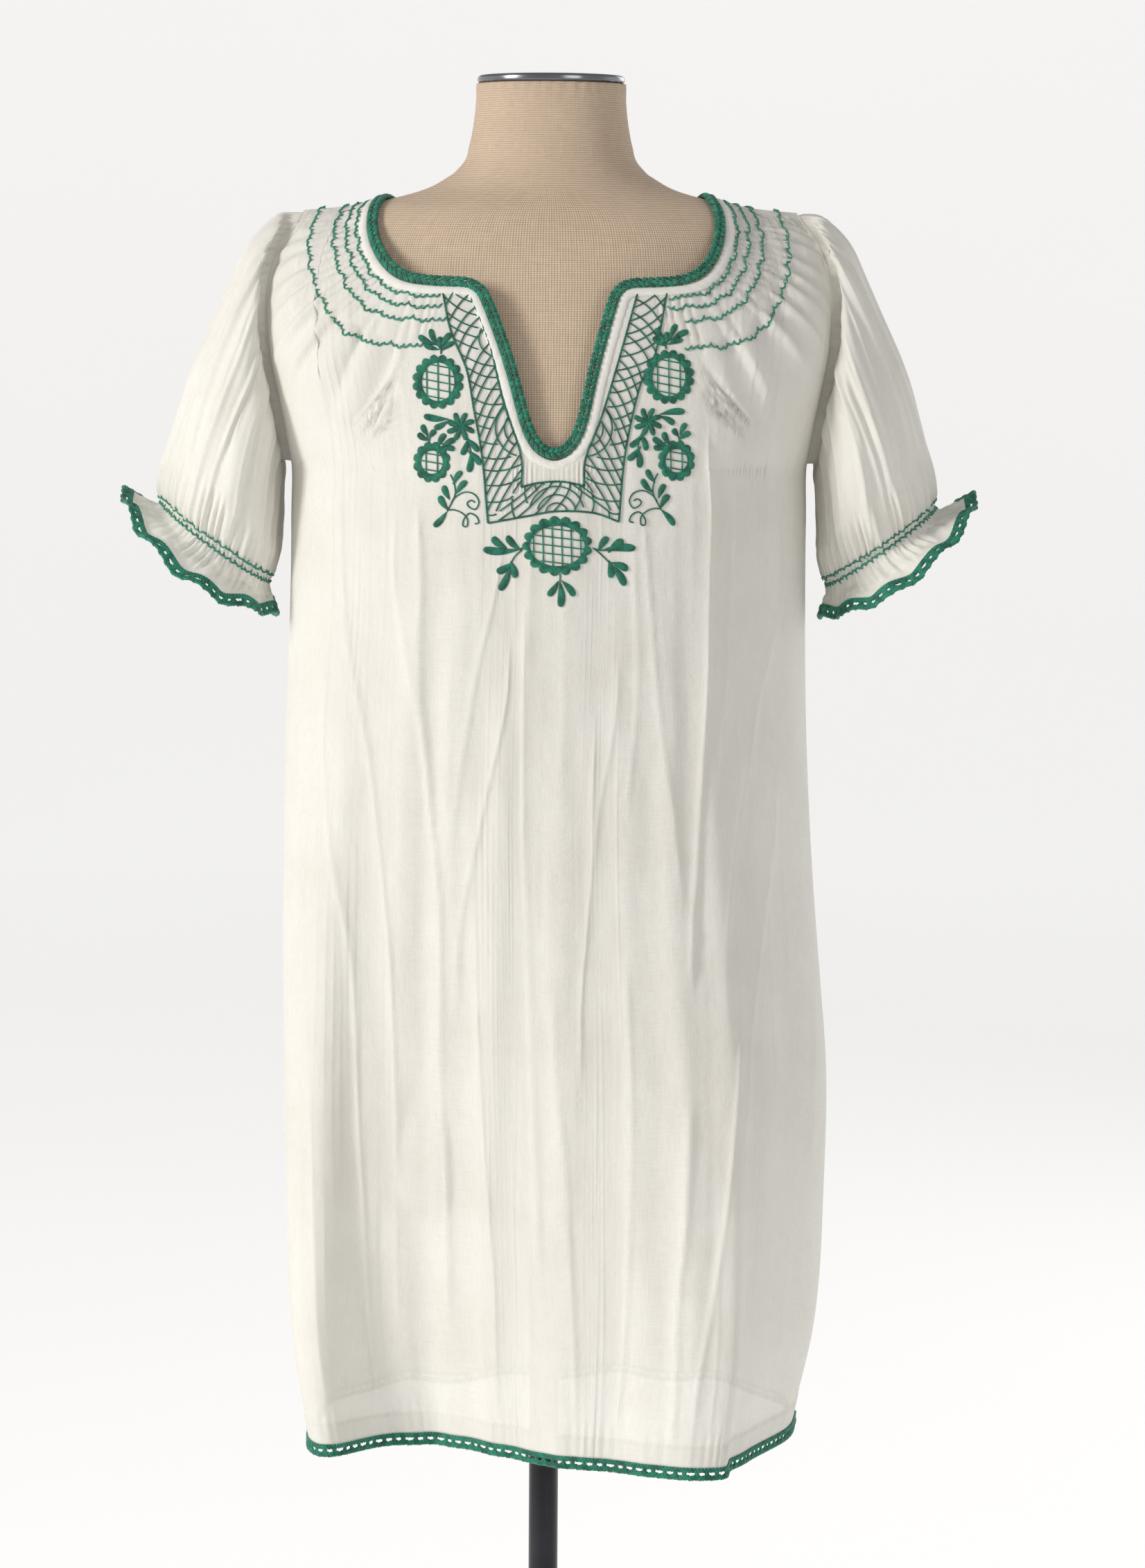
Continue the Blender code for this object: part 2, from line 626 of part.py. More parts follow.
def sleeve_middle(panels):
    """Middle surface of the right sleeve (+X): rings from the armhole to the edge of the frill."""
    turn = np.linspace(0, 2 * math.pi, SLEEVE_STEPS, endpoint=False)
    c, s = np.cos(turn), np.sin(turn)
    half = (SHOULDER_END[1] - ARMHOLE_LOW) / 2
    z = ARMHOLE_LOW + half + (half - ARMHOLE_END) * c
    x, opening = armhole(panels, z)
    y = -np.sign(s) * np.maximum(opening - ARMHOLE_IN, 0.3 * opening) * (np.abs(s) > 1e-9)
    rings = [np.stack([x + out, y, z], -1) for out in (0.0, SLEEVE_OUT)]
    shares = [0.0, 0.03]
    for share, x_out, z_out, x_in, z_in, depth in SLEEVE_RINGS:
        along = (1 + c) / 2
        x = x_in + (x_out - x_in) * along
        z = z_in + (z_out - z_in) * along
        x = np.maximum(x, armhole(panels, z)[0] + SLEEVE_CLEAR)
        rings.append(np.stack([x, -depth * s, z], -1))
        shares.append(share)
    points = np.array(rings)
    n = closed_normals(points)
    shares = np.array(shares)[:, None]
    degrees = np.degrees(turn)[None, :]
    lift = np.zeros(points.shape[:2])
    for at, width, height in SLEEVE_FOLDS:
        apart = (degrees - at + 180) % 360 - 180
        lift += height * np.exp(-((apart / width) ** 2)) * ease((shares - 0.05) / 0.25)
    lift *= 1 - ease((shares - 0.85) / 0.15)
    lift += FRILL_HEIGHT * np.sin(FRILL_WAVES * turn)[None, :] * ease((shares - 1.02) / 0.16)
    return points + n * lift[..., None]


def make_sleeve(side, panels, cloth, green):
    """side is 1 for the right sleeve as seen from the front, -1 for the left one."""
    middle = sleeve_middle(panels)
    away = middle[-1] - middle[-2]
    away /= np.linalg.norm(away, axis=1, keepdims=True)
    n = closed_normals(middle)
    flip = np.array([side, 1, 1])
    word = "right" if side > 0 else "left"
    out, inside = (middle + n * CLOTH / 2) * flip, (middle - n * CLOTH / 2) * flip
    wall("sleeve_" + word, out, inside, cloth, closed=True)
    rows = np.stack([middle[-1] + away * d for d in (CUFF_GAP, CUFF_GAP + EDGING)])
    off = n[-1] - away * (n[-1] * away).sum(1, keepdims=True)
    off /= np.linalg.norm(off, axis=1, keepdims=True)
    out, inside = (rows + off * EDGING_THICK / 2) * flip, (rows - off * EDGING_THICK / 2) * flip
    wall("cuff_edging_" + word, out, inside, green, closed=True)


def make_hem_edging(front, back, green):
    """The crocheted band under the lower edges of both panels."""
    loop = np.concatenate([front[0][-1], back[0][-1, ::-1][1:-1]])
    n = np.concatenate([front[1][-1], back[1][-1, ::-1][1:-1]])
    loop[[0, front[0].shape[1] - 1], 1] = 0
    n[:, 2] = 0
    n /= np.linalg.norm(n, axis=1, keepdims=True)
    rows = np.stack([loop - np.array([0, 0, d]) for d in (SEAM, SEAM + EDGING)])
    wall("hem_edging", rows + n * EDGING_THICK / 2, rows - n * EDGING_THICK / 2, green, closed=True)


def make_torso(linen):
    turn = np.linspace(0, 2 * math.pi, TORSO_STEPS, endpoint=False)
    c, s = np.cos(turn), np.sin(turn)
    rings = []
    for z, half, front, back in TORSO_RINGS:
        rings.append(np.stack([half * c, np.where(s < 0, front, back) * s, np.full_like(c, z)], -1))
    stack("form_torso", rings, linen)


def make_stand(chrome, black):
    cap_low = NECK_TOP + SEAM
    turned("neck_cap", (
        (CAP_RADIUS - 0.0015, cap_low),
        (CAP_RADIUS, cap_low + 0.0008),
        (CAP_RADIUS, CAP_TOP - 0.0012),
        (CAP_RADIUS - 0.0015, CAP_TOP),
    ), chrome, depth=CAP_DEPTH)
    low = TORSO_LOW - SEAM
    flange_low = low - FLANGE_HEIGHT
    turned("pole_flange", (
        (FLANGE_RADIUS - 0.002, flange_low),
        (FLANGE_RADIUS, flange_low + BEVEL),
        (FLANGE_RADIUS, low),
    ), black, steps=32)
    turned("pole", ((POLE_RADIUS, POLE_FOOT + SEAM), (POLE_RADIUS, flange_low - SEAM)), black, steps=24)
    turned("base_socket", (
        (SOCKET_RADIUS, BASE_HEIGHT + SEAM),
        (SOCKET_RADIUS, BASE_HEIGHT + 0.006),
        (0.017, BASE_HEIGHT + 0.009),
        (0.016, POLE_FOOT),
    ), black, steps=32)
    turned("base_disc", (
        (BASE_RADIUS - BEVEL, 0),
        (BASE_RADIUS, BEVEL),
        (BASE_RADIUS, BASE_HEIGHT - 0.002),
        (BASE_RADIUS - 0.003, BASE_HEIGHT),
    ), black, steps=48)


FLAT_NECK = {side: neck_line(side) for side in (1, -1)}


def main():
    for thing in list(bpy.data.objects):
        bpy.data.objects.remove(thing)
    voile = material("ivory_voile", (0.86, 0.83, 0.76), 0.85)
    binding = material("ivory_binding", (0.88, 0.85, 0.77), 0.8)
    green = material("green_cotton", (0.010, 0.190, 0.105), 0.7)
    linen = material("tan_linen", (0.50, 0.37, 0.26), 0.9)
    chrome = material("dark_chrome", (0.25, 0.26, 0.28), 0.2, 1.0)
    black = material("black_enamel", (0.012, 0.013, 0.018), 0.3)

    panels = (
        make_panel("front_panel", False, FRONT_FOLDS, voile),
        make_panel("back_panel", True, BACK_FOLDS, voile),
    )
    make_sleeve(1, panels, voile, green)
    make_sleeve(-1, panels, voile, green)
    edging = neck_loop(-EDGING / 2), neck_loop(EDGING / 2)
    strip("neck_edging", *edging, -CLOTH / 2, EDGING_THICK - CLOTH / 2, green)
    start = NECK_EDGE + BINDING_GAP
    strip("neck_binding", neck_loop(start), neck_loop(start + BINDING), BINDING_LOW, BINDING_HIGH, binding)
    make_hem_edging(*panels, green)
    make_torso(linen)
    make_stand(chrome, black)


main()
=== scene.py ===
"""Looks of the short ivory voile dress with green crochet and embroidery, on its linen-covered form.

Metres, +Z up, the front faces -Y. The cloth is worked out from the same named sizes as the solids:
s is the share of the width (-1 to 1, +1 at the right side seam) and z the height. Plain numbers inside
a sine or a noise are only its beat, phase or seed, picked so that no two folds or stitches are alike.
"""

import math

import bpy
import numpy as np
from mathutils import Matrix, Vector
from mathutils.bvhtree import BVHTree


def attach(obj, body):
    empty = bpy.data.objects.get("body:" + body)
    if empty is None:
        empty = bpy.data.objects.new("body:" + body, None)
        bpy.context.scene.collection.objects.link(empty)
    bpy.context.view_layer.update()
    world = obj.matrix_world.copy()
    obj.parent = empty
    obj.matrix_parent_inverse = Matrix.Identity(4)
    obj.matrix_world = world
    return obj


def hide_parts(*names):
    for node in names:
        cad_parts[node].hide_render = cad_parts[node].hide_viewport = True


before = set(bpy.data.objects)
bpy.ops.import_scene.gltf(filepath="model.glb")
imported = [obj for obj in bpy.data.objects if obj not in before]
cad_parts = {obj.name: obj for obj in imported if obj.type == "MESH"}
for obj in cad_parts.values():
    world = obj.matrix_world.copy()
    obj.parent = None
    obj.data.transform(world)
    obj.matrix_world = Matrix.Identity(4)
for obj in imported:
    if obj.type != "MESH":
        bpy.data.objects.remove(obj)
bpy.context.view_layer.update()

# the photograph's frame in pixels, and the camera that it suggests
PHOTO_WIDE, PHOTO_HIGH = 1652, 2263
FOCAL_PIXELS = 6634
CAMERA_AT = (0.0176, -3.2, 1.38)
CAMERA_DOWN = math.radians(5.55)
CAMERA_ROLL = math.radians(0.35)
SENSOR = 36.0
CAMERA_SEES = 200

# sizes shared with the solids
SEAM = 0.0003           # gap between two sewn pieces
HEM_Z = 0.6240          # lower edge of the cloth, above the crocheted edging
HEM_TURN = 0.0145       # height of the turned hem
EDGING = 0.0078         # width of the crocheted edging
BINDING = 0.0062        # width of the neck binding
CHEST_Z = 1.28          # under this height the cloth hangs free
ARMHOLE_LOW = 1.292
SHOULDER_END = (0.170, 1.4665)
POLE_RADIUS = 0.0103
BASE_RADIUS = 0.180
BASE_HEIGHT = 0.010
TORSO_LOW = 0.775
NECK_TOP = 1.5535
POLE_FOOT = 0.034
NECK_EDGE = EDGING / 2 + 0.0011   # from the middle of the neck edging to the edge of the cloth
FAN_FROM = 0.57
FAN_TO = 0.82
ARMHOLE_IN = 0.00095    # the sleeve starts this far inside the armhole's edge
TOP_SETTLE = 0.010
EASE = 0.0040           # from the form to the middle of the cloth, at the least
HIP_EASE = 0.0050
SEAT = 0.0015           # the same straight down, on top of the shoulders
ARMHOLE_END = 0.0016
ARMHOLE_HALF = 0.046    # widest half opening of the armhole, front to back
ARMHOLE_ROUND = 0.7
FRONT_ROUND = 2.1       # how square the front turns over the shoulder; 2 is an ellipse
BACK_ROUND = 2.6
PLAN_ROUND = 2.3        # the same for the dress seen from above
SKIRT_Z = 1.22          # from here down the cloth falls towards the line of its lower edge
FALL_POWER = 1.4
HIP_Z = 1.25            # from here down the ease grows, over HIP_OVER
HIP_OVER = 0.20
TUCK = 0.006            # height under the top of the shoulder over which the ease starts
TOUCH_FROM = 0.012      # depth of the form over which its ease starts
FORM_END = 0.08         # height over which the form stops to push the cloth out
SIDES_Z = 1.29          # the width follows SIDES under this height, blended over SIDES_OVER
SIDES_OVER = 0.05

# how finely the cloth is divided
SLIT_STEPS = 9
NECK_STEPS = 14
BACK_NECK_STEPS = 10
SHOULDER_STEPS = 8
TO_SHOULDER = SLIT_STEPS + NECK_STEPS
FINER = 12              # fine columns of a panel for each of those steps
FRONT_SPARING = 2       # under the yoke only every second of them goes on
BACK_SPARING = 2
YOKE_DEEP = 0.170       # cloth under the neck line that has the fine columns
YOKE_ROWS = 68
SKIRT_ROWS = 108
HEM_ROWS = 8
SLEEVE_STEPS = 352
PROFILE_REACH = 0.173
PROFILE_COUNT = 400
PROFILE_DEEP = 0.34
FIRST_DROP = 2e-7       # the first step down from the shoulder, where the cloth is nearly level


# height, half width, depth to the front, depth to the back
TORSO_RINGS = (
    (TORSO_LOW, 0.1610, 0.0970, 0.1110),
    (0.787, 0.1645, 0.1010, 0.1150),
    (0.815, 0.1665, 0.1050, 0.1190),
    (0.860, 0.1660, 0.1070, 0.1210),
    (0.910, 0.1620, 0.1070, 0.1160),
    (0.960, 0.1540, 0.1030, 0.1050),
    (1.010, 0.1440, 0.0980, 0.0920),
    (1.060, 0.1310, 0.0930, 0.0810),
    (1.100, 0.1250, 0.0920, 0.0770),
    (1.150, 0.1310, 0.0980, 0.0800),
    (1.200, 0.1420, 0.1080, 0.0860),
    (1.240, 0.1500, 0.1180, 0.0930),
    (1.270, 0.1530, 0.1220, 0.0980),
    (1.300, 0.1560, 0.1210, 0.1020),
    (1.340, 0.1610, 0.1130, 0.1050),
    (1.370, 0.1660, 0.1040, 0.1050),
    (1.400, 0.1690, 0.0930, 0.1010),
    (1.430, 0.1680, 0.0810, 0.0930),
    (1.448, 0.1620, 0.0730, 0.0840),
    (1.461, 0.1500, 0.0650, 0.0750),
    (1.469, 0.1320, 0.0590, 0.0680),
    (1.4745, 0.1100, 0.0540, 0.0620),
    (1.4800, 0.0900, 0.0500, 0.0570),
    (1.4890, 0.0720, 0.0470, 0.0520),
    (1.5000, 0.0600, 0.0450, 0.0490),
    (1.5110, 0.0565, 0.0440, 0.0470),
    (1.5300, 0.0530, 0.0430, 0.0460),
    (NECK_TOP, 0.0512, 0.0420, 0.0450),
)

# height, half width of the dress, depth to the front, depth to the back, where the cloth hangs smooth
DRESS_RINGS = (
    (0.600, 0.1950, 0.1300, 0.1360),
    (0.900, 0.1900, 0.1350, 0.1370),
    (1.050, 0.1840, 0.1340, 0.1300),
    (1.180, 0.1800, 0.1320, 0.1200),
    (1.250, 0.1790, 0.1300, 0.1160),
    (1.292, 0.1785, 0.1270, 0.1140),
    (1.330, 0.1840, 0.1260, 0.1140),
    (1.375, 0.1920, 0.1260, 0.1140),
    (1.410, 0.1930, 0.1260, 0.1140),
    (1.440, 0.1860, 0.1260, 0.1140),
    (1.4665, 0.1700, 0.1260, 0.1140),
)

# half distance from the middle of the body, height of the top of the shoulder
SHOULDER_LINE = (
    (0.000, 1.4850),
    (0.060, 1.4830),
    (0.100, 1.4790),
    (0.112, 1.4756),
    (0.130, 1.4709),
    (0.150, 1.4682),
    SHOULDER_END,
)

# height, left edge and right edge of the dress as the front shows it
SIDES = (
    (0.600, -0.1600, 0.1740),
    (0.624, -0.1635, 0.1775),
    (0.680, -0.1735, 0.1895),
    (0.790, -0.1800, 0.1965),
    (0.875, -0.1825, 0.1970),
    (0.930, -0.1830, 0.1925),
    (1.014, -0.1835, 0.1855),
    (1.120, -0.1820, 0.1800),
    (1.210, -0.1790, 0.1785),
    (1.290, -0.1785, 0.1785),
)

# the lower edge seen from above, from the left side seam to the right one: share of the width, x, y
HEM_FRONT = (
    (-1.00, -0.159, 0.000),
    (-0.86, -0.1645, -0.050),
    (-0.74, -0.1625, -0.092),
    (-0.60, -0.146, -0.108),
    (-0.46, -0.112, -0.078),
    (-0.30, -0.072, -0.072),
    (-0.16, -0.034, -0.100),
    (0.00, 0.004, -0.132),
    (0.16, 0.048, -0.148),
    (0.32, 0.094, -0.167),
    (0.46, 0.121, -0.163),
    (0.56, 0.129, -0.137),
    (0.70, 0.148, -0.098),
    (0.85, 0.170, -0.048),
    (1.00, 0.1775, 0.000),
)
HEM_BACK = (
    (-1.00, -0.159, 0.000),
    (-0.84, -0.153, 0.052),
    (-0.68, -0.128, 0.088),
    (-0.50, -0.098, 0.124),
    (-0.34, -0.066, 0.112),
    (-0.16, -0.028, 0.142),
    (0.02, 0.012, 0.128),
    (0.20, 0.052, 0.150),
    (0.38, 0.092, 0.122),
    (0.54, 0.124, 0.130),
    (0.70, 0.150, 0.086),
    (0.86, 0.171, 0.050),
    (1.00, 0.1775, 0.000),
)

# middle line of the neck edging over the front, right half: x, z. The corner of the slit is NECK_CORNER.
NECK_CORNER = 7
NECK_FRONT = (
    (0.0000, 1.2998),
    (0.0130, 1.3080),
    (0.0195, 1.3256),
    (0.0244, 1.3465),
    (0.0307, 1.3698),
    (0.0383, 1.3930),
    (0.0435, 1.4080),
    (0.0478, 1.4160),
    (0.0640, 1.4165),
    (0.0820, 1.4172),
    (0.0990, 1.4205),
    (0.1106, 1.4320),
    (0.1168, 1.4460),
    (0.1186, 1.4590),
    (0.1165, 1.4690),
    (0.1120, 1.4750),
)
# the same over the back, from the shoulder to the middle
NECK_BACK = (
    (0.1070, 1.4725),
    (0.0980, 1.4695),
    (0.0770, 1.4668),
    (0.0520, 1.4650),
    (0.0260, 1.4640),
    (0.0000, 1.4635),
)

# height, how far the middle of the yoke sits to the right
SWAY = ((1.05, 0.0), (1.20, 0.0035), (1.33, 0.0035), (1.41, 0.0), (1.465, -0.0055), (1.48, -0.006))

# raised folds of the skirt: share of the width at the yoke and at the hem, top height, half width, height
FRONT_FOLDS = (
    (-0.72, -0.80, 1.20, 0.060, 0.0030),
    (-0.50, -0.56, 1.26, 0.050, 0.0035),
    (-0.36, -0.40, 1.24, 0.045, 0.0030),
    (-0.15, -0.24, 1.19, 0.050, 0.0035),
    (0.06, 0.04, 1.16, 0.050, 0.0030),
    (0.26, 0.34, 1.20, 0.055, 0.0030),
    (0.42, 0.50, 1.24, 0.050, 0.0040),
    (0.58, 0.66, 1.26, 0.045, 0.0035),
    (0.74, 0.80, 1.20, 0.050, 0.0030),
)
BACK_FOLDS = (
    (-0.70, -0.76, 1.24, 0.060, 0.0035),
    (-0.44, -0.50, 1.28, 0.055, 0.0040),
    (-0.20, -0.26, 1.26, 0.050, 0.0035),
    (0.03, 0.02, 1.27, 0.055, 0.0040),
    (0.27, 0.34, 1.28, 0.050, 0.0035),
    (0.50, 0.56, 1.26, 0.055, 0.0040),
    (0.74, 0.78, 1.22, 0.060, 0.0030),
)

# share of the way from armhole to frill; outer line x, z; inner line x, z; half depth
SLEEVE_RINGS = (
    (0.08, 0.1850, 1.4640, 0.1845, 1.2920, 0.0500),
    (0.20, 0.2010, 1.4500, 0.1850, 1.2860, 0.0620),
    (0.36, 0.2170, 1.4180, 0.1860, 1.2740, 0.0730),
    (0.52, 0.2350, 1.3780, 0.1860, 1.2600, 0.0770),
    (0.68, 0.2500, 1.3400, 0.1860, 1.2460, 0.0760),
    (0.82, 0.2610, 1.3020, 0.1870, 1.2330, 0.0700),
    (0.93, 0.2680, 1.2760, 0.1910, 1.2190, 0.0610),
    (1.00, 0.2680, 1.2650, 0.1945, 1.2110, 0.0550),
    (1.05, 0.2730, 1.2620, 0.1950, 1.2050, 0.0565),
    (1.12, 0.2830, 1.2660, 0.1925, 1.1990, 0.0650),
    (1.18, 0.2890, 1.2690, 0.1910, 1.1950, 0.0700),
)
# folds down the sleeve: turn round it in degrees (0 is the outer line, 90 the front), half width, height
SLEEVE_FOLDS = (
    (14, 13, 0.0035), (44, 11, 0.0045), (70, 10, 0.0035), (98, 11, 0.0045), (124, 10, 0.0030),
    (228, 12, 0.0035), (256, 11, 0.0045), (284, 10, 0.0035), (312, 12, 0.0045), (340, 11, 0.0030),
)
FRILL_WAVES = 11
FRILL_HEIGHT = 0.0045


def smooth(table, at, column=1):
    """Cubic curve through one column of a table whose first column rises."""
    knots = np.array([row[0] for row in table], float)
    values = np.array([row[column] for row in table], float)
    slopes = np.gradient(values, knots)
    at = np.clip(np.asarray(at, float), knots[0], knots[-1])
    i = np.clip(np.searchsorted(knots, at) - 1, 0, len(knots) - 2)
    step = knots[i + 1] - knots[i]
    t = (at - knots[i]) / step
    rise = t * t * (3 - 2 * t)
    return (
        values[i] * (1 - rise)
        + values[i + 1] * rise
        + step * t * (1 - t) * (slopes[i] * (1 - t) - slopes[i + 1] * t)
    )


def ease(t):
    t = np.clip(t, 0, 1)
    return t * t * (3 - 2 * t)


def torso_depth(x, z, column):
    """How far the form reaches from its middle plane to the front (column 2) or to the back (3)."""
    half = smooth(TORSO_RINGS, z, 1)
    inside = np.clip(1 - (x / half) ** 2, 0, 1)
    return np.where(z > NECK_TOP, 0, smooth(TORSO_RINGS, z, column) * np.sqrt(inside))


def armhole_half(z):
    """Half of the armhole's opening from front to back at a height."""
    t = np.clip((z - ARMHOLE_LOW) / (SHOULDER_END[1] - ARMHOLE_LOW), 0, 1)
    return ARMHOLE_HALF * np.sin(np.pi * t) ** ARMHOLE_ROUND


def cloth_x(s, z):
    """Sideways place of share s of the width at a height. The yoke sits a little to one side."""
    return smooth(DRESS_RINGS, z, 1) * s + smooth(SWAY, z) * (1 - np.clip(s * s, 0, 1))


def dress_point(s, z, back):
    """Middle surface of a panel at share s of the width (-1 to 1) and height z, without its folds."""
    s = np.asarray(s, float)
    z = np.asarray(z, float)
    side = 3 if back else 2
    x = cloth_x(s, z)
    top = smooth(SHOULDER_LINE, np.abs(x))
    bulge = BACK_ROUND if back else FRONT_ROUND
    share = np.clip((z - CHEST_Z) / (top - CHEST_Z), 0, 1)
    over = (1 - share**bulge) ** (1 / bulge)
    ring = np.clip(1 - np.abs(s) ** PLAN_ROUND, 0, 1) ** (1 / PLAN_ROUND)
    edge = armhole_half(z)
    depth = edge + (smooth(DRESS_RINGS, z, side) - edge) * ring
    depth = np.maximum(edge, depth * over)
    hem = HEM_BACK if back else HEM_FRONT
    q = np.arcsin(np.clip(s, -1, 1)) * 2 / math.pi
    fall = np.clip((SKIRT_Z - z) / (SKIRT_Z - HEM_Z), 0, 1) ** FALL_POWER
    depth = depth * (1 - fall) + np.abs(smooth(hem, q, 2)) * fall
    x = x * (1 - fall) + smooth(hem, q, 1) * fall
    # the cloth never comes closer to the form than its own thickness
    room = EASE + (HIP_EASE - EASE) * ease((HIP_Z - z) / HIP_OVER)
    room = room * np.clip((top - z) / TUCK, 0, 1) ** 0.5
    torso = torso_depth(x, z - SEAT, side)
    touch = (torso + room * ease(torso / TOUCH_FROM)) * ease((z - TORSO_LOW + FORM_END) / FORM_END)
    depth = np.where(z >= top - 1e-7, 0, np.maximum(depth, touch))
    return x, depth if back else -depth, z


def silhouette_scale():
    """For a list of heights, what brings the widest points of each side to SIDES."""
    rows = []
    s = np.sin(np.linspace(-1, 1, 121) * math.pi / 2)
    for z in np.linspace(SIDES[0][0], SIDES[-1][0], 47):
        front = dress_point(s, np.full_like(s, z), False)[0]
        back = dress_point(s, np.full_like(s, z), True)[0]
        least = min(front.min(), back.min())
        most = max(front.max(), back.max())
        rows.append((z, smooth(SIDES, z, 1) / least, smooth(SIDES, z, 2) / most))
    return rows


SCALE = silhouette_scale()


def fold_height(s, z, folds):
    total = np.zeros_like(s)
    for s_top, s_low, z_top, width, height in folds:
        t = np.clip((z_top - z) / (z_top - HEM_Z), 0, 1)
        middle = s_top + (s_low - s_top) * t
        grow = ease((z_top - z) / 0.12)
        total += height * grow * np.exp(-(((s - middle) / width) ** 2))
    return total


def sheet(s, z, back):
    """Middle surface with the silhouette brought to size, as an array of points."""
    x, y, z = dress_point(s, z, back)
    left = np.interp(z, [r[0] for r in SCALE], [r[1] for r in SCALE])
    right = np.interp(z, [r[0] for r in SCALE], [r[2] for r in SCALE])
    fade = ease((SIDES_Z - z) / SIDES_OVER)
    x = x * np.where(x < 0, 1 + (left - 1) * fade, 1 + (right - 1) * fade)
    return np.stack([x, y, z + 0 * x], -1)

# small tools for meshes

def grid_quads(rows, columns, closed=False):
    """Faces of a grid of points, as quads. A closed grid joins its last column to its first."""
    r, c = np.meshgrid(np.arange(rows - 1), np.arange(columns if closed else columns - 1), indexing="ij")
    d = (c + 1) % columns
    near, far = r * columns, (r + 1) * columns
    return np.stack([near + c, near + d, far + d, far + c], -1).reshape(-1, 4)


def link(name, points, faces, look, flat=None):
    """One mesh object that rides the dress. flat gives each point's place in the uncut cloth."""
    mesh = bpy.data.meshes.new(name)
    points = np.asarray(points, float).reshape(-1, 3)
    mesh.from_pydata(points.tolist(), [], [list(map(int, f)) for f in faces])
    mesh.polygons.foreach_set("use_smooth", [True] * len(mesh.polygons))
    mesh.materials.append(look)
    if flat is not None:
        corners = np.empty(len(mesh.loops), np.int32)
        mesh.loops.foreach_get("vertex_index", corners)
        layer = mesh.uv_layers.new(name=WEAVE_MAP)
        layer.data.foreach_set("uv", np.asarray(flat, np.float32).reshape(-1, 2)[corners].ravel())
    made = bpy.data.objects.new(name, mesh)
    bpy.context.scene.collection.objects.link(made)
    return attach(made, "root")


def unit(v):
    return v / np.maximum(np.linalg.norm(v, axis=-1, keepdims=True), 1e-12)


def normals_of(points, outwards):
    """Unit normals of a grid of points, turned so that they point with `outwards`."""
    n = unit(np.cross(np.gradient(points, axis=0), np.gradient(points, axis=1)))
    return n if (n * outwards).sum() > 0 else -n


NOISE_CELLS = 61        # the noise repeats after this many cells


def lattice_noise(u, v, seed):
    """Smooth noise from -1 to 1, with cells one unit across."""
    table = np.random.default_rng(seed).uniform(-1, 1, (NOISE_CELLS, NOISE_CELLS))
    i, j = np.floor(u).astype(int), np.floor(v).astype(int)
    p, q = ease(u - i), ease(v - j)

    def at(a, b):
        return table[a % NOISE_CELLS, b % NOISE_CELLS]

    low = at(i, j) * (1 - p) + at(i + 1, j) * p
    high = at(i, j + 1) * (1 - p) + at(i + 1, j + 1) * p
    return low * (1 - q) + high * q


def window(x, low, high, soft):
    """1 between low and high, falling to 0 over `soft` outside them."""
    return ease((x - low + soft) / soft) * ease((high + soft - x) / soft)


# the panels

def panel_columns(side, back):
    """For one half: share low down, share at the top and height at the top of each column."""
    spots = neck_spots(side, NECK_EDGE)
    spots = spots[:TO_SHOULDER - 1 : -1] if back else spots[: TO_SHOULDER + 1]
    at = np.linspace(0, len(spots) - 1, (len(spots) - 1) * FINER + 1)
    top = np.interp(at, np.arange(len(spots)), np.abs(spots[:, 0]))
    z = np.interp(at, np.arange(len(spots)), spots[:, 1])
    fan = int(np.argmax(top > FAN_FROM))
    low = np.concatenate([top[:fan], np.linspace(top[fan], FAN_TO, len(top) - fan)])
    s = np.sin(np.linspace(math.asin(low[-1]), math.pi / 2, SHOULDER_STEPS * FINER + 1)[1:])
    x = top[-1] * smooth(DRESS_RINGS, z[-1], 1)
    x = x + (SHOULDER_END[0] - x) * (s - low[-1]) / (1 - low[-1])
    seam_z = np.array([ridge_height(side * v) for v in x])
    seam_top = x / smooth(DRESS_RINGS, seam_z, 1)
    seam_top[-1] = 1
    low = np.concatenate([low, s])
    return side * low, side * np.concatenate([top, seam_top]), np.concatenate([z, seam_z])


def panel_grid(low, top, top_z, back):
    """Shares, heights and cloth from the top edge, for rows that are spaced along the cloth."""
    shares, heights, lengths = [], [], []
    for s_low, s_top, z_top in zip(low, top, top_z):
        drop = np.concatenate([[0], np.geomspace(FIRST_DROP, z_top - HEM_Z, 400)])
        z = z_top - drop
        s = s_top + (s_low - s_top) * ease(drop / TOP_SETTLE)
        length = np.linalg.norm(np.diff(sheet(s, z, back), axis=0), axis=1)
        length = np.concatenate([[0], np.cumsum(length)])
        yoke = np.linspace(0, YOKE_DEEP, YOKE_ROWS)
        skirt = np.linspace(YOKE_DEEP, length[-1] - HEM_TURN, SKIRT_ROWS + 1)[1:]
        hem = np.linspace(length[-1] - HEM_TURN, length[-1], HEM_ROWS + 1)[1:]
        wanted = np.concatenate([yoke, skirt, hem])
        shares.append(np.interp(wanted, length, s))
        heights.append(np.interp(wanted, length, z))
        lengths.append(wanted)
    return np.array(shares).T, np.array(heights).T, np.array(lengths).T


# the neck line

def ridge_height(x):
    """Height of the top of the shoulder at a distance x from the middle of the garment."""
    z = SHOULDER_END[1] + 0 * np.asarray(x)
    for _ in range(40):
        z = smooth(SHOULDER_LINE, np.abs(cloth_x(x / smooth(DRESS_RINGS, z, 1), z)))
    return z


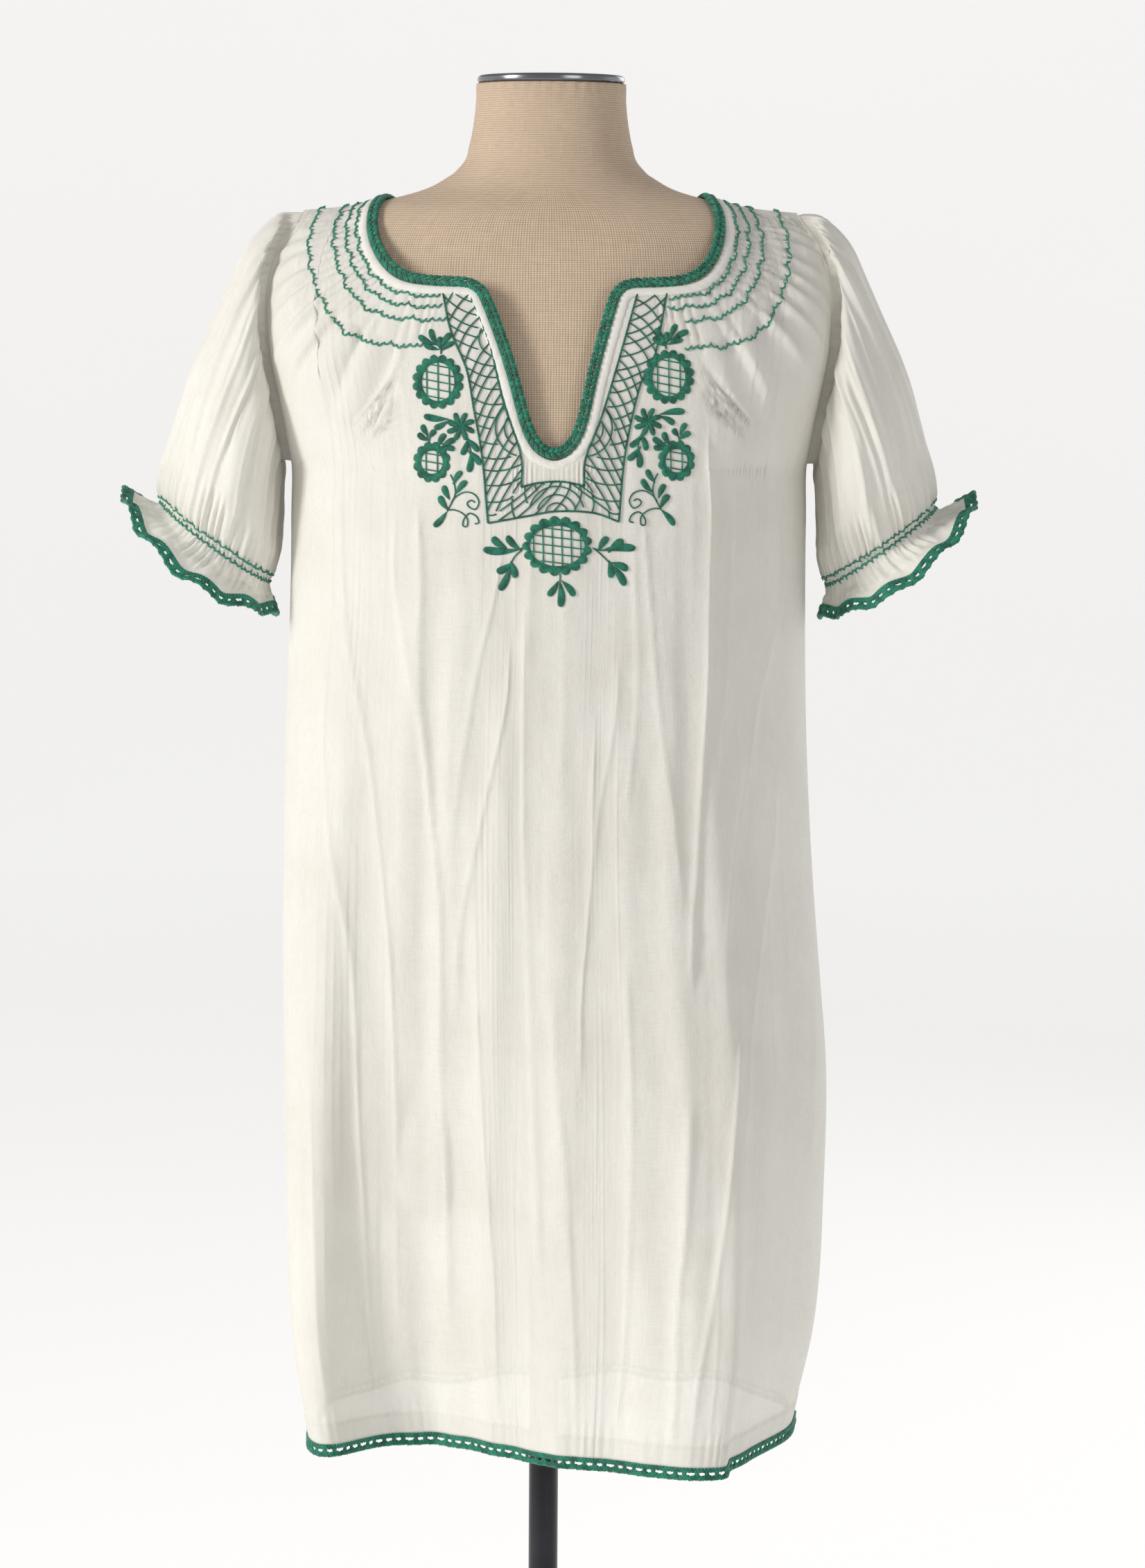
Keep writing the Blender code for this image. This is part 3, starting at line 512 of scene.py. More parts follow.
def profiles(side, back):
    """For places across one half of a panel: heights down from the shoulder, and the cloth above each."""
    x = np.linspace(0, PROFILE_REACH, PROFILE_COUNT)
    top = ridge_height(side * x)[:, None]
    z = top - np.concatenate([[0], np.geomspace(FIRST_DROP, PROFILE_DEEP, 300)])[None]
    points = sheet(side * x[:, None] / smooth(DRESS_RINGS, z, 1), z, back)
    steps = np.linalg.norm(np.diff(points, axis=1), axis=2)
    return z, np.concatenate([np.zeros((len(x), 1)), np.cumsum(steps, axis=1)], 1)


def profile(x, back):
    """Heights and lengths of cloth down a panel at x, between the two nearest worked-out ones."""
    z, lengths = PROFILES[x >= 0, back]
    at = min(abs(x) / PROFILE_REACH * (PROFILE_COUNT - 1), PROFILE_COUNT - 1.001)
    i, t = int(at), at - int(at)
    return z[i] * (1 - t) + z[i + 1] * t, lengths[i] * (1 - t) + lengths[i + 1] * t


def even(path, steps):
    """A path walked in equal steps."""
    walked = np.concatenate([[0], np.cumsum(np.linalg.norm(np.diff(path, axis=0), axis=1))])
    at = np.linspace(0, walked[-1], steps + 1)
    return np.stack([np.interp(at, walked, path[:, 0]), np.interp(at, walked, path[:, 1])], -1)


def neck_line(side):
    """The neck line of one half, flat: x and the cloth from the shoulder, less than 0 in front."""
    rows = [(i, *p) for i, p in enumerate(NECK_FRONT)]
    low = np.linspace(0, NECK_CORNER, SLIT_STEPS + 1)
    high = np.linspace(NECK_CORNER, len(rows) - 1, 41)
    first, last = rows[: NECK_CORNER + 1], rows[NECK_CORNER:]
    x = np.concatenate([smooth(first, low, 1), smooth(last, high, 1)[1:]])
    z = np.concatenate([smooth(first, low, 2), smooth(last, high, 2)[1:]])
    behind = [(i, *p) for i, p in enumerate(NECK_BACK)]
    at = np.linspace(0, len(behind) - 1, 31)
    flat = []
    for px, pz in zip(x, z):
        heights, lengths = profile(side * px, False)
        flat.append((px, -np.interp(-pz, -heights, lengths)))
    flat[-1] = (x[-1], 0.0)
    shoulder = len(flat) - 1
    for px, pz in zip(smooth(behind, at, 1), smooth(behind, at, 2)):
        heights, lengths = profile(side * px, True)
        flat.append((px, np.interp(-pz, -heights, lengths)))
    flat = np.array(flat)
    slit, front, back = flat[: SLIT_STEPS + 1], flat[SLIT_STEPS : shoulder + 1], flat[shoulder:]
    front, back = even(front, NECK_STEPS), even(back, BACK_NECK_STEPS)
    return np.concatenate([slit, front[1:], back[1:]])


def moved_aside(flat, distance):
    """A flat neck line moved over the cloth, away from the opening. Its ends and shoulder point stay put."""
    along = np.gradient(flat, axis=0)
    along[[0, -1]] = (1, 0), (-1, 0)
    along /= np.linalg.norm(along, axis=1, keepdims=True)
    moved = flat + distance * np.stack([along[:, 1], -along[:, 0]], -1)
    moved[TO_SHOULDER, 1] = 0
    return moved


def neck_spots(side, distance):
    """Share of the width and height of each station of one half of the neck line, moved aside."""
    spots = []
    for x, cloth in moved_aside(FLAT_NECK[side], distance):
        back = cloth > 0
        heights, lengths = profile(side * x, back)
        z = np.interp(abs(cloth), lengths, heights)
        spots.append((side * x / smooth(DRESS_RINGS, z, 1), z))
    return np.array(spots)


def neck_loop(distance):
    """The neck line moved over the cloth: over the front from left to right, then over the back."""
    right, left = neck_spots(1, distance), neck_spots(-1, distance)
    front = np.concatenate([left[TO_SHOULDER:0:-1], right[: TO_SHOULDER + 1]])
    back = np.concatenate([right[TO_SHOULDER + 1 :], left[-2:TO_SHOULDER:-1]])
    return np.concatenate([sheet(*front.T, False), sheet(*back.T, True)])


PROFILES = {(side > 0, back): profiles(side, back) for side in (1, -1) for back in (False, True)}
FLAT_NECK = {side: neck_line(side) for side in (1, -1)}


# the camera

def make_camera():
    data = bpy.data.cameras.new("camera")
    data.sensor_width = SENSOR
    data.lens = FOCAL_PIXELS / PHOTO_HIGH * SENSOR
    data.clip_end = CAMERA_SEES
    camera = bpy.data.objects.new("camera", data)
    bpy.context.scene.collection.objects.link(camera)
    turn = Matrix.Rotation(math.pi / 2 - CAMERA_DOWN, 4, "X") @ Matrix.Rotation(CAMERA_ROLL, 4, "Z")
    camera.matrix_world = Matrix.Translation(CAMERA_AT) @ turn
    bpy.context.scene.camera = camera


def photo_ray(px, py):
    """Start and direction, in the row frame, of what the photograph shows at a pixel."""
    turn = Matrix.Rotation(math.pi / 2 - CAMERA_DOWN, 3, "X") @ Matrix.Rotation(CAMERA_ROLL, 3, "Z")
    ray = turn @ Vector(((px - PHOTO_WIDE / 2) / FOCAL_PIXELS, -(py - PHOTO_HIGH / 2) / FOCAL_PIXELS, -1))
    return Vector(CAMERA_AT), ray.normalized()


# creases, gathers and the panels

# creases of the front, top to bottom: half width in mm, height in mm, then pixels of the photograph
FRONT_CREASES = (
    (3.0, 1.5, (571, 760), (571, 840), (590, 960), (612, 1065), (622, 1180)),
    (3.0, 1.9, (604, 740), (609, 840), (606, 963), (620, 1140), (636, 1322), (638, 1558), (644, 1654),
     (649, 1788), (652, 1900)),
    (4.0, 1.6, (495, 700), (499, 894), (534, 1097), (561, 1349), (571, 1558), (575, 1700)),
    (4.5, 1.7, (466, 900), (470, 1140), (480, 1242), (507, 1386), (515, 1558), (534, 1920), (540, 2040)),
    (3.5, 1.3, (724, 800), (712, 870), (689, 969), (668, 1097), (655, 1200)),
    (4.0, 1.6, (735, 940), (729, 1027), (695, 1183), (665, 1338), (660, 1450)),
    (4.5, 1.5, (757, 900), (756, 990), (756, 1215), (762, 1376), (770, 1644), (778, 1850)),
    (3.5, 1.2, (892, 960), (887, 1044), (866, 1161), (860, 1230)),
    (4.0, 1.5, (858, 1060), (855, 1156), (855, 1236), (847, 1344), (839, 1445), (838, 1560)),
    (3.5, 1.3, (914, 800), (919, 920), (919, 1001), (913, 1081), (905, 1160)),
    (3.5, 1.5, (930, 760), (936, 840), (952, 1044), (972, 1183), (985, 1300)),
    (4.0, 2.8, (1021, 640), (1024, 740), (1021, 840), (1016, 1022), (1005, 1247), (1000, 1322), (998, 1420)),
    (3.5, 1.6, (1060, 740), (1056, 840), (1043, 1017), (1036, 1110)),
    (4.5, 1.8, (1124, 760), (1118, 894), (1086, 1033), (1054, 1269), (1045, 1380)),
    (4.5, 1.5, (1120, 1130), (1112, 1231), (1091, 1376), (1080, 1510), (1074, 1640)),
    (5.0, 1.8, (1168, 1120), (1171, 1236), (1174, 1558), (1170, 1680)),
    (5.0, 1.6, (799, 1440), (802, 1558), (818, 1708), (829, 1949), (831, 2040)),
    (6.0, 3.0, (996, 1600), (989, 1783), (979, 1895), (970, 2094)),
    (5.0, 2.0, (1066, 1500), (1059, 1601), (1043, 1783), (1011, 1976), (1000, 2060)),
    (5.0, 1.6, (690, 1450), (700, 1640), (716, 1860), (720, 2040)),
    (5.5, 1.6, (905, 1400), (912, 1600), (908, 1820), (890, 2060)),
    (4.5, 1.4, (430, 900), (434, 1120), (440, 1400), (452, 1700), (470, 2020)),
)
# the same for the back, which the photograph doesn't show: half width and height in mm, then share and height
BACK_CREASES = (
    (4.5, 1.8, (-0.80, 1.20), (-0.81, 1.02), (-0.84, 0.86), (-0.85, 0.72)),
    (4.0, 2.2, (-0.60, 1.27), (-0.59, 1.12), (-0.62, 0.94), (-0.63, 0.80)),
    (3.5, 1.6, (-0.47, 1.30), (-0.45, 1.18), (-0.44, 1.02), (-0.46, 0.92)),
    (4.5, 2.4, (-0.33, 1.31), (-0.35, 1.16), (-0.39, 0.98), (-0.42, 0.76), (-0.42, 0.65)),
    (4.0, 1.5, (-0.21, 1.22), (-0.22, 1.08), (-0.20, 0.95)),
    (4.5, 2.1, (-0.09, 1.32), (-0.10, 1.14), (-0.13, 0.93), (-0.15, 0.70)),
    (3.5, 1.4, (0.02, 1.20), (0.03, 1.06), (0.02, 0.88)),
    (4.5, 2.3, (0.12, 1.31), (0.13, 1.12), (0.15, 0.90), (0.18, 0.68)),
    (4.0, 1.7, (0.29, 1.30), (0.27, 1.14), (0.29, 0.99)),
    (5.0, 2.4, (0.41, 1.29), (0.43, 1.10), (0.47, 0.88), (0.49, 0.66)),
    (3.5, 1.5, (0.53, 1.24), (0.52, 1.10), (0.54, 0.96)),
    (4.5, 2.0, (0.66, 1.28), (0.66, 1.08), (0.68, 0.84), (0.69, 0.68)),
    (5.0, 1.8, (0.83, 1.18), (0.85, 1.00), (0.86, 0.78)),
)
# distance of each stitched row from the middle line of the neck edging
STITCH_ROWS = (0.0110, 0.0185, 0.0275, 0.0450)
CREASE_GAIN = 0.95      # how much the creases stand out, all together
CREASE_THIN = 0.42      # and how narrow they are
FOLD_GAIN = 0.6         # the folds beside those of the solids
BACK_CREASED = 1.4      # the creases of the back beside those of the front
SHARPEST = 1.8          # mm, the least half width of a crease
DEEPEST = 0.0016        # how far a hollow may lie inside the smooth cloth before it is pressed flat
NEAR_ENOUGH = 0.0025    # places this little farther off count too, so that the gathers turn gently
GATHER_PITCH = 0.0050
GATHER_HEIGHT = 0.00125
PUFF_PITCH = 0.0088
PUFF_HEIGHT = 0.0021
GATHER_ROWS = YOKE_ROWS + 20
LOOSE_FROM = 0.052      # off the neck line: the last stitched row ends here and the gathers open
PRESS_LINES = ((0.905, 0.0007), (0.668, 0.0005))    # height and depth of the ironed lines across the skirt
PRESS_WIDE = 0.0032
# slow waves of the cloth: height, then their size across and down
SLOW_WAVES = ((0.0013, 0.036, 0.26), (0.0007, 0.015, 0.12))
CRUMPLE = (0.00030, 0.0085, 0.024)
# x from and to where crossed threads, flowers and the cloth beside them hold the gathers flat
BANDS_FROM_TO = -0.0720, 0.0700
FLOWERS_FROM_TO = -0.088, 0.094
BESIDE_FLOWERS = -0.098, 0.104
FLOWERS_TOP = 1.3820
SLIT_TUCK = 0.00045     # the little tucks under the slit
TUCKS_FROM_TO = -0.020, 0.026
TUCKS_LOW_HIGH = 1.2795, 1.2935
SLIT_TUCK_PITCH = 0.0031
PRESSED = 0.0012
HEM_PUCKER = 0.0003
HEM_PUCKER_PITCH = 0.0062
HEM_LINE = 0.0005       # depth of the line of stitches
HEM_DOUBLE = 0.0004
HEM_INSIDE = 0.0011     # how far inside the cloth the hem's turned edge lies


def smooth_path(path, at):
    """A curve through points, at parameters from 0 to 1."""
    path = np.asarray(path, float)
    rows = [(i, *p) for i, p in enumerate(path)]
    at = np.asarray(at, float) * (len(path) - 1)
    return np.stack([smooth(rows, at, k + 1) for k in range(path.shape[1])], -1)


def on_front(px, py):
    """Share of the width and height of the smooth front panel at a pixel of the photograph."""
    start, ray = photo_ray(px, py)
    s, z, y = 0.0, 1.0, -0.12
    for _ in range(7):
        hit = start + ray * ((y - start.y) / ray.y)
        z = hit.z
        grid = np.linspace(-0.999, 0.999, 241)
        points = sheet(grid, np.full_like(grid, z), False)
        near = np.argmin(np.abs(points[:, 0] - hit.x) + 0.3 * np.maximum(points[:, 1], -0.03))
        low, high = max(near - 1, 0), min(near + 1, 240)
        xs = points[low:high + 1, 0]
        order = np.argsort(xs)
        s = float(np.interp(hit.x, xs[order], grid[low:high + 1][order]))
        y = float(sheet(np.array([s]), np.array([z]), False)[0, 1])
    return s, z


def crease_lift(s, z, creases, half):
    """Height of the listed creases. Each is a thin ridge, steep on one side and slow on the other."""
    total = np.zeros_like(s)
    for k, (wide, high, *path) in enumerate(creases):
        fine = smooth_path(path, np.linspace(0, 1, 60))
        fine = fine[np.argsort(fine[:, 1])]
        middle = np.interp(z, fine[:, 1], fine[:, 0])
        top, low = fine[-1, 1], fine[0, 1]
        fade = window(z, low + 0.02, top - 0.02, 0.035)
        wide, high = max(CREASE_THIN * wide, SHARPEST) / 1000, high / 1000
        away = (s - middle) * half * (1 + 0.25 * np.sin(31 * z + 2.1 * k))
        side = 1 if k % 3 else -1
        sharp = np.exp(-(np.abs(away / wide) ** 1.3))
        slow = 0.5 * sharp + 0.5 * np.exp(-np.abs(away) / (5.5 * wide))
        total += CREASE_GAIN * high * fade * np.where(side * away > 0, sharp, slow)
    return total


def neck_field(points, loop):
    """For each point, how far along the neck line its nearest places are and how far off it lies."""
    walked = np.concatenate([[0], np.cumsum(np.linalg.norm(np.diff(loop, axis=0), axis=1))])
    flat = points.reshape(-1, 3).astype(np.float32)
    loop = loop.astype(np.float32)
    along, off = np.empty(len(flat)), np.empty(len(flat))
    a, d = loop[:-1], np.diff(loop, axis=0)
    square = (d ** 2).sum(1)
    for i in range(0, len(flat), 4000):
        p = flat[i:i + 4000, None]
        t = np.clip(((p - a) * d).sum(2) / square, 0, 1)
        gap = np.linalg.norm(p - a - t[..., None] * d, axis=2)
        nearest = gap.min(1)
        weight = np.exp((nearest[:, None] - gap) / NEAR_ENOUGH)
        along[i:i + 4000] = (weight * (walked[:-1] + t * np.sqrt(square))).sum(1) / weight.sum(1)
        off[i:i + 4000] = nearest
    return along.reshape(points.shape[:2]), off.reshape(points.shape[:2])


def gather_lift(along, off):
    """Fine gathers between the stitched rows, which open into wider folds under the last row."""
    wobble = 0.9 * np.sin(along / 0.021) + 0.7 * np.sin(along / 0.0083 + 1.0)
    wobble += 14 * (off - 0.02) * np.sin(along / 0.013)
    # round puffs with narrow valleys between them
    fine = 1.6 * (np.abs(np.sin(math.pi * along / GATHER_PITCH + wobble)) ** 0.7 - 0.70)
    uneven = 0.65 + 0.35 * lattice_noise(along / 0.006, off / 0.012, 3)
    held = np.ones_like(off)
    for row in STITCH_ROWS:
        held *= 1 - 0.55 * np.exp(-(((off - row) / 0.0016) ** 2))
    fine_height = GATHER_HEIGHT * window(off, 0.0125, LOOSE_FROM, 0.004) * held
    fine_height += 0.5 * GATHER_HEIGHT * window(off, LOOSE_FROM, 0.060, 0.016)
    reach = 0.055 + 0.030 * lattice_noise(along / 0.011, 0 * along, 5)
    broad = np.sin(2 * math.pi * along / PUFF_PITCH + 0.8 * wobble + 0.6)
    broad_height = PUFF_HEIGHT * ease((off - 0.044) / 0.012) * (1 - ease((off - 0.060) / reach))
    return fine * uneven * fine_height + broad * broad_height


def held_flat(gathers, x, z):
    """The front's gathers end beside the slit, where crossed threads and flowers hold the cloth flat."""
    gathers = gathers * (1 - window(x, *FLOWERS_FROM_TO, 0.012) * ease((FLOWERS_TOP - z) / 0.012))
    gathers *= 1 - window(x, *BANDS_FROM_TO, 0.004)
    gathers *= 1 - 0.8 * window(x, *BESIDE_FLOWERS, 0.02) * ease((FLOWERS_TOP + 0.003 - z) / 0.02)
    return gathers


def tucks_under_slit(x, z):
    wide = 2 * math.pi * x / SLIT_TUCK_PITCH
    there = window(x, *TUCKS_FROM_TO, 0.008) * window(z, *TUCKS_LOW_HIGH, 0.004)
    return SLIT_TUCK * np.sin(wide + 0.8 * np.sin(x / 0.004)) * there


def soft_lift(s, z, half, seed):
    """Slow waves, the slight crumple of washed cotton and the lines that the iron left."""
    x = s * half
    slow = sum(high * lattice_noise(x / across, z / down, seed + k)
               for k, (high, across, down) in enumerate(SLOW_WAVES))
    high, across, down = CRUMPLE
    small = high * lattice_noise(x / across, z / down, seed + len(SLOW_WAVES))
    bent = 0.004 * np.sin(x / 0.05)
    press = sum(-depth * np.exp(-(((z - at - bent) / PRESS_WIDE) ** 2)) for at, depth in PRESS_LINES)
    return ease((1.38 - z) / 0.12) * slow + small + press


def hem_lift(s, half, v):
    """The hem's band is two layers thick, drawn in a little by its stitches."""
    up = v[-1][None, :] - v
    pucker = np.sin(2 * math.pi * (s * half) / HEM_PUCKER_PITCH + 1.3 * np.sin(s * 40))
    lift = HEM_PUCKER * pucker * window(up, 0.004, HEM_TURN + 0.006, 0.005)
    lift -= HEM_LINE * np.exp(-(((up - HEM_TURN) / 0.0012) ** 2))
    return lift + HEM_DOUBLE * window(up, 0, HEM_TURN - 0.002, 0.001)


def panel_lift(s, z, v, middle, back):
    """How far each point of a panel stands off the smooth cloth `middle`."""
    half = smooth(DRESS_RINGS, z, 1)
    folds, creases, gain = FRONT_FOLDS, FRONT_CREASES, 1
    if back:
        folds, creases, gain = BACK_FOLDS, BACK_CREASES, BACK_CREASED
    else:
        creases = [(wide, high, *[on_front(*p) for p in path]) for wide, high, *path in creases]
    lift = FOLD_GAIN * fold_height(s, z, folds) + gain * crease_lift(s, z, creases, half)
    lift += soft_lift(s, z, half, 21 if back else 11)
    loop = neck_loop(0.0)
    loop = np.concatenate([loop, loop[:1]])
    gathers = np.zeros_like(s)
    gathers[:GATHER_ROWS] = gather_lift(*neck_field(middle[:GATHER_ROWS], loop))
    if not back:
        gathers = held_flat(gathers, middle[..., 0], z)
        lift += tucks_under_slit(middle[..., 0], z)
    lift += gathers
    # hollows stay clear of the form
    sunk = np.maximum(-DEEPEST - lift, 0)
    lift += sunk - PRESSED * np.tanh(sunk / PRESSED)
    lift *= (1 - np.abs(s) ** 24) * ease(v / 0.006)
    return lift + hem_lift(s, half, v)


def panel_mesh(points, n, v, back):
    """All columns of the yoke, then fewer down to the hem, whose edge turns inside."""
    columns = points.shape[1]
    sparing = BACK_SPARING if back else FRONT_SPARING
    coarse = np.arange(0, columns, sparing)
    hem = slice(-1 - HEM_ROWS, None, 4)
    inside = (points - n * HEM_INSIDE)[hem, coarse][::-1]
    below = np.concatenate([points[YOKE_ROWS:, coarse], inside])
    count = YOKE_ROWS * columns
    faces = grid_quads(YOKE_ROWS, columns).tolist()
    for k in range(len(coarse) - 1):
        a, b = (YOKE_ROWS - 1) * columns + sparing * k, count + k
        faces += [(a, a + 1, b), (a + 1, b + 1, b)]
        faces += [(a + j, a + j + 1, b + 1) for j in range(1, sparing)]
    faces += (grid_quads(len(below), len(coarse)) + count).tolist()
    if not back:
        faces = [f[::-1] for f in faces]
    steps = np.diff(points[YOKE_ROWS], axis=0, prepend=points[YOKE_ROWS, :1])
    across = np.cumsum(np.linalg.norm(steps, axis=1))
    flat = np.stack([np.broadcast_to(across, v.shape), -v], -1)
    fold = flat[hem, coarse][::-1] - (0, 0.001)
    flat_below = np.concatenate([flat[YOKE_ROWS:, coarse], fold])
    made = np.concatenate([points[:YOKE_ROWS].reshape(-1, 3), below.reshape(-1, 3)])
    return made, faces, np.concatenate([flat[:YOKE_ROWS].reshape(-1, 2), flat_below.reshape(-1, 2)])


def make_panel(name, back, look):
    """One panel of cloth. Returns it with its points, their normals and the way down from the shoulder."""
    halves = [panel_columns(side, back) for side in (1, -1)]
    low, top, top_z = (np.concatenate([b[:0:-1], a]) for a, b in zip(*halves))
    s, z, v = panel_grid(low, top, top_z, back)
    middle = sheet(s, z, back)
    outwards = np.array([0, 1.0 if back else -1.0, 0.02])
    n = normals_of(middle, outwards)
    # edges that meet the other panel move within the plane between them
    n[:, [0, -1], 1] = 0
    n[0, np.abs(middle[0, :, 1]) < 1e-6, 1] = 0
    n[0, [0, -1]] = n[1, [0, -1]]
    n = unit(n)
    points = middle + n * panel_lift(s, z, v, middle, back)[..., None]
    points[..., 1] += SEAM / 2 if back else -SEAM / 2
    n = normals_of(points, outwards)
    made, faces, flat = panel_mesh(points, n, v, back)
    panel = link(name, made, faces, look, flat)
    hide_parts(name.replace("_cloth", ""))
    return panel, points, n, v


# the sleeves

SMOCK_SHARES = (0.960, 1.012)
FRILL_SOFT = 0.40       # the frill's waves beside those of the solid
FRILL_SAG = (0.0065, 0.0095)    # how far the frill's front and back hang out and down
CUFF_PLEATS = 92
PLEAT_HEIGHT = 0.00085
BROAD_PLEAT = 0.0013
SET_IN_GATHERS = 72
SET_IN_HEIGHT = 0.0007
FRILL_RISE = 0.0010     # the frill's edge rises and falls with its waves
SLEEVE_FOLD_GAIN = 0.7  # the folds beside those of the solids
SET_IN = 0.03, 0.0060    # at this share of its length the sleeve stands this far off the armhole
SLEEVE_OFF = 0.0065     # and from there on it stays this far off the panels
CREASE_SLIM, CREASE_LOW = 0.62, 0.80     # the creases' width and height beside the table's
# more folds down the sleeve: degrees (0 is the outer line, 90 the front), half width in degrees,
# height in mm, and the shares of the sleeve's length from which and to which they run
SLEEVE_CREASES = (
    (8, 4, 1.4, 0.10, 0.62), (22, 4, 1.8, 0.30, 0.90), (33, 3.5, 1.6, 0.08, 0.55),
    (40, 3, 1.5, 0.40, 0.92), (52, 4, 2.0, 0.05, 0.70), (61, 3, 1.4, 0.35, 0.90),
    (68, 3.5, 1.6, 0.10, 0.88), (79, 3, 1.8, 0.04, 0.60), (86, 3.5, 1.5, 0.42, 0.90),
    (95, 3, 1.4, 0.06, 0.50), (104, 4, 1.9, 0.30, 0.88), (116, 3.5, 1.5, 0.05, 0.60),
    (130, 4, 1.7, 0.25, 0.90), (146, 4, 1.4, 0.10, 0.70), (165, 5, 1.4, 0.20, 0.85),
    (190, 5, 1.3, 0.15, 0.80), (214, 4, 1.5, 0.20, 0.90), (236, 3.5, 1.7, 0.06, 0.60),
    (249, 3.5, 1.6, 0.30, 0.90), (263, 3, 1.8, 0.05, 0.55), (275, 4, 1.6, 0.38, 0.90),
    (290, 3.5, 1.5, 0.06, 0.70), (303, 3, 1.7, 0.30, 0.90), (322, 4, 1.6, 0.08, 0.60),
    (333, 3.5, 1.5, 0.35, 0.92), (350, 4, 1.5, 0.12, 0.80),
)
SLEEVE_SHARES = np.concatenate([
    np.linspace(0, 0.10, 14), np.linspace(0.10, 0.90, 50)[1:], np.linspace(0.90, 1.18, 42)[1:],
])


def armhole(edges, z):
    """x and half of the opening at heights z, along the straight edges of the panels."""
    x, half = [], []
    for edge in edges:
        x.append(np.interp(-z, -edge[:, 2], edge[:, 0]))
        half.append(np.interp(-z, -edge[:, 2], np.abs(edge[:, 1])))
    return np.minimum(*x), np.minimum(*half)


def smooth_sleeve(edges, c, s):
    """The right sleeve's rings from the armhole to the edge of the frill, without folds."""
    half = (SHOULDER_END[1] - ARMHOLE_LOW) / 2
    z = ARMHOLE_LOW + half + (half - ARMHOLE_END) * c
    x, opening = armhole(edges, z)
    y = -np.sign(s) * np.maximum(opening - ARMHOLE_IN, 0.3 * opening) * (np.abs(s) > 1e-9)
    rings = [np.stack([x + out, y, z], -1) for out in (0.0, SET_IN[1])]
    shares = [0.0, SET_IN[0]]
    for share, x_out, z_out, x_in, z_in, depth in SLEEVE_RINGS:
        along = (1 + c) / 2
        x = x_in + (x_out - x_in) * along
        z = z_in + (z_out - z_in) * along
        x = np.maximum(x, armhole(edges, z)[0] + SLEEVE_OFF)
        rings.append(np.stack([x, -depth * s, z], -1))
        shares.append(share)
    knots, rings = np.array(shares), np.array(rings)
    slopes = np.gradient(rings, knots, axis=0)
    i = np.clip(np.searchsorted(knots, SLEEVE_SHARES) - 1, 0, len(knots) - 2)
    step = (knots[i + 1] - knots[i])[:, None, None]
    t = (SLEEVE_SHARES - knots[i])[:, None, None] / step
    rise = t * t * (3 - 2 * t)
    points = rings[i] * (1 - rise) + rings[i + 1] * rise
    return points + step * t * (1 - t) * (slopes[i] * (1 - t) - slopes[i + 1] * t)


def sleeve_creases(share, degrees, side):
    """Folds and thin creases down the sleeve, and its slow waves."""
    lift = np.zeros((share.shape[0], degrees.shape[1]))
    for at, width, height in SLEEVE_FOLDS:
        apart = (degrees - at + 180) % 360 - 180
        lift += SLEEVE_FOLD_GAIN * height * np.exp(-((apart / width) ** 2)) * ease((share - 0.05) / 0.25)
    lift *= 1 - ease((share - 0.85) / 0.15)
    for k, (at, width, height, start, end) in enumerate(SLEEVE_CREASES):
        width, height = CREASE_SLIM * width, CREASE_LOW * height
        at = at + (4 if side > 0 else -3) * math.sin(2.4 * k)
        apart = (degrees - at - 5 * np.sin(3.1 * share + k) + 180) % 360 - 180
        fade = window(share, start, end, 0.12)
        trough = 0.5 * np.exp(-(((apart - 2 * width) / (1.4 * width)) ** 2))
        lift += height / 1000 * fade * (np.exp(-((apart / width) ** 2)) - trough)
    u = degrees / 360 * np.ones_like(share)
    down = share + 0 * u
    lift += 0.0012 * lattice_noise(u * 21, down * 3, 31 + side)
    return lift + 0.0005 * lattice_noise(u * 47, down * 9, 35 + side) * ease(share / 0.1)


def sleeve_gathers(share, turn, side):
    """Little gathers at the armhole, fine pleats held by the cuff's stitches and the waves of the frill."""
    wobble = 0.9 * np.sin(9 * turn + side) + 0.5 * np.sin(23 * turn)
    set_in = SET_IN_HEIGHT * np.sin(SET_IN_GATHERS * turn + wobble)
    lift = set_in * window(share, 0.02, 0.10, 0.02) * (np.cos(turn) > -0.6)
    held = 1 - 0.4 * sum(np.exp(-(((share - at) / 0.006) ** 2)) for at in SMOCK_SHARES)
    pleats = np.sin(CUFF_PLEATS * turn + wobble)
    lift = lift + PLEAT_HEIGHT * pleats * window(share, 0.955, 1.04, 0.045) * held
    broad = np.sin(CUFF_PLEATS / 2 * turn + 1.7 * wobble)
    lift += BROAD_PLEAT * broad * (window(share, 0.86, 0.93, 0.09) + 0.8 * window(share, 1.06, 1.10, 0.05))
    wave = np.sin(FRILL_WAVES * turn + 0.5 * np.sin(3 * turn))
    return lift + FRILL_SOFT * FRILL_HEIGHT * wave * ease((share - 1.02) / 0.16)


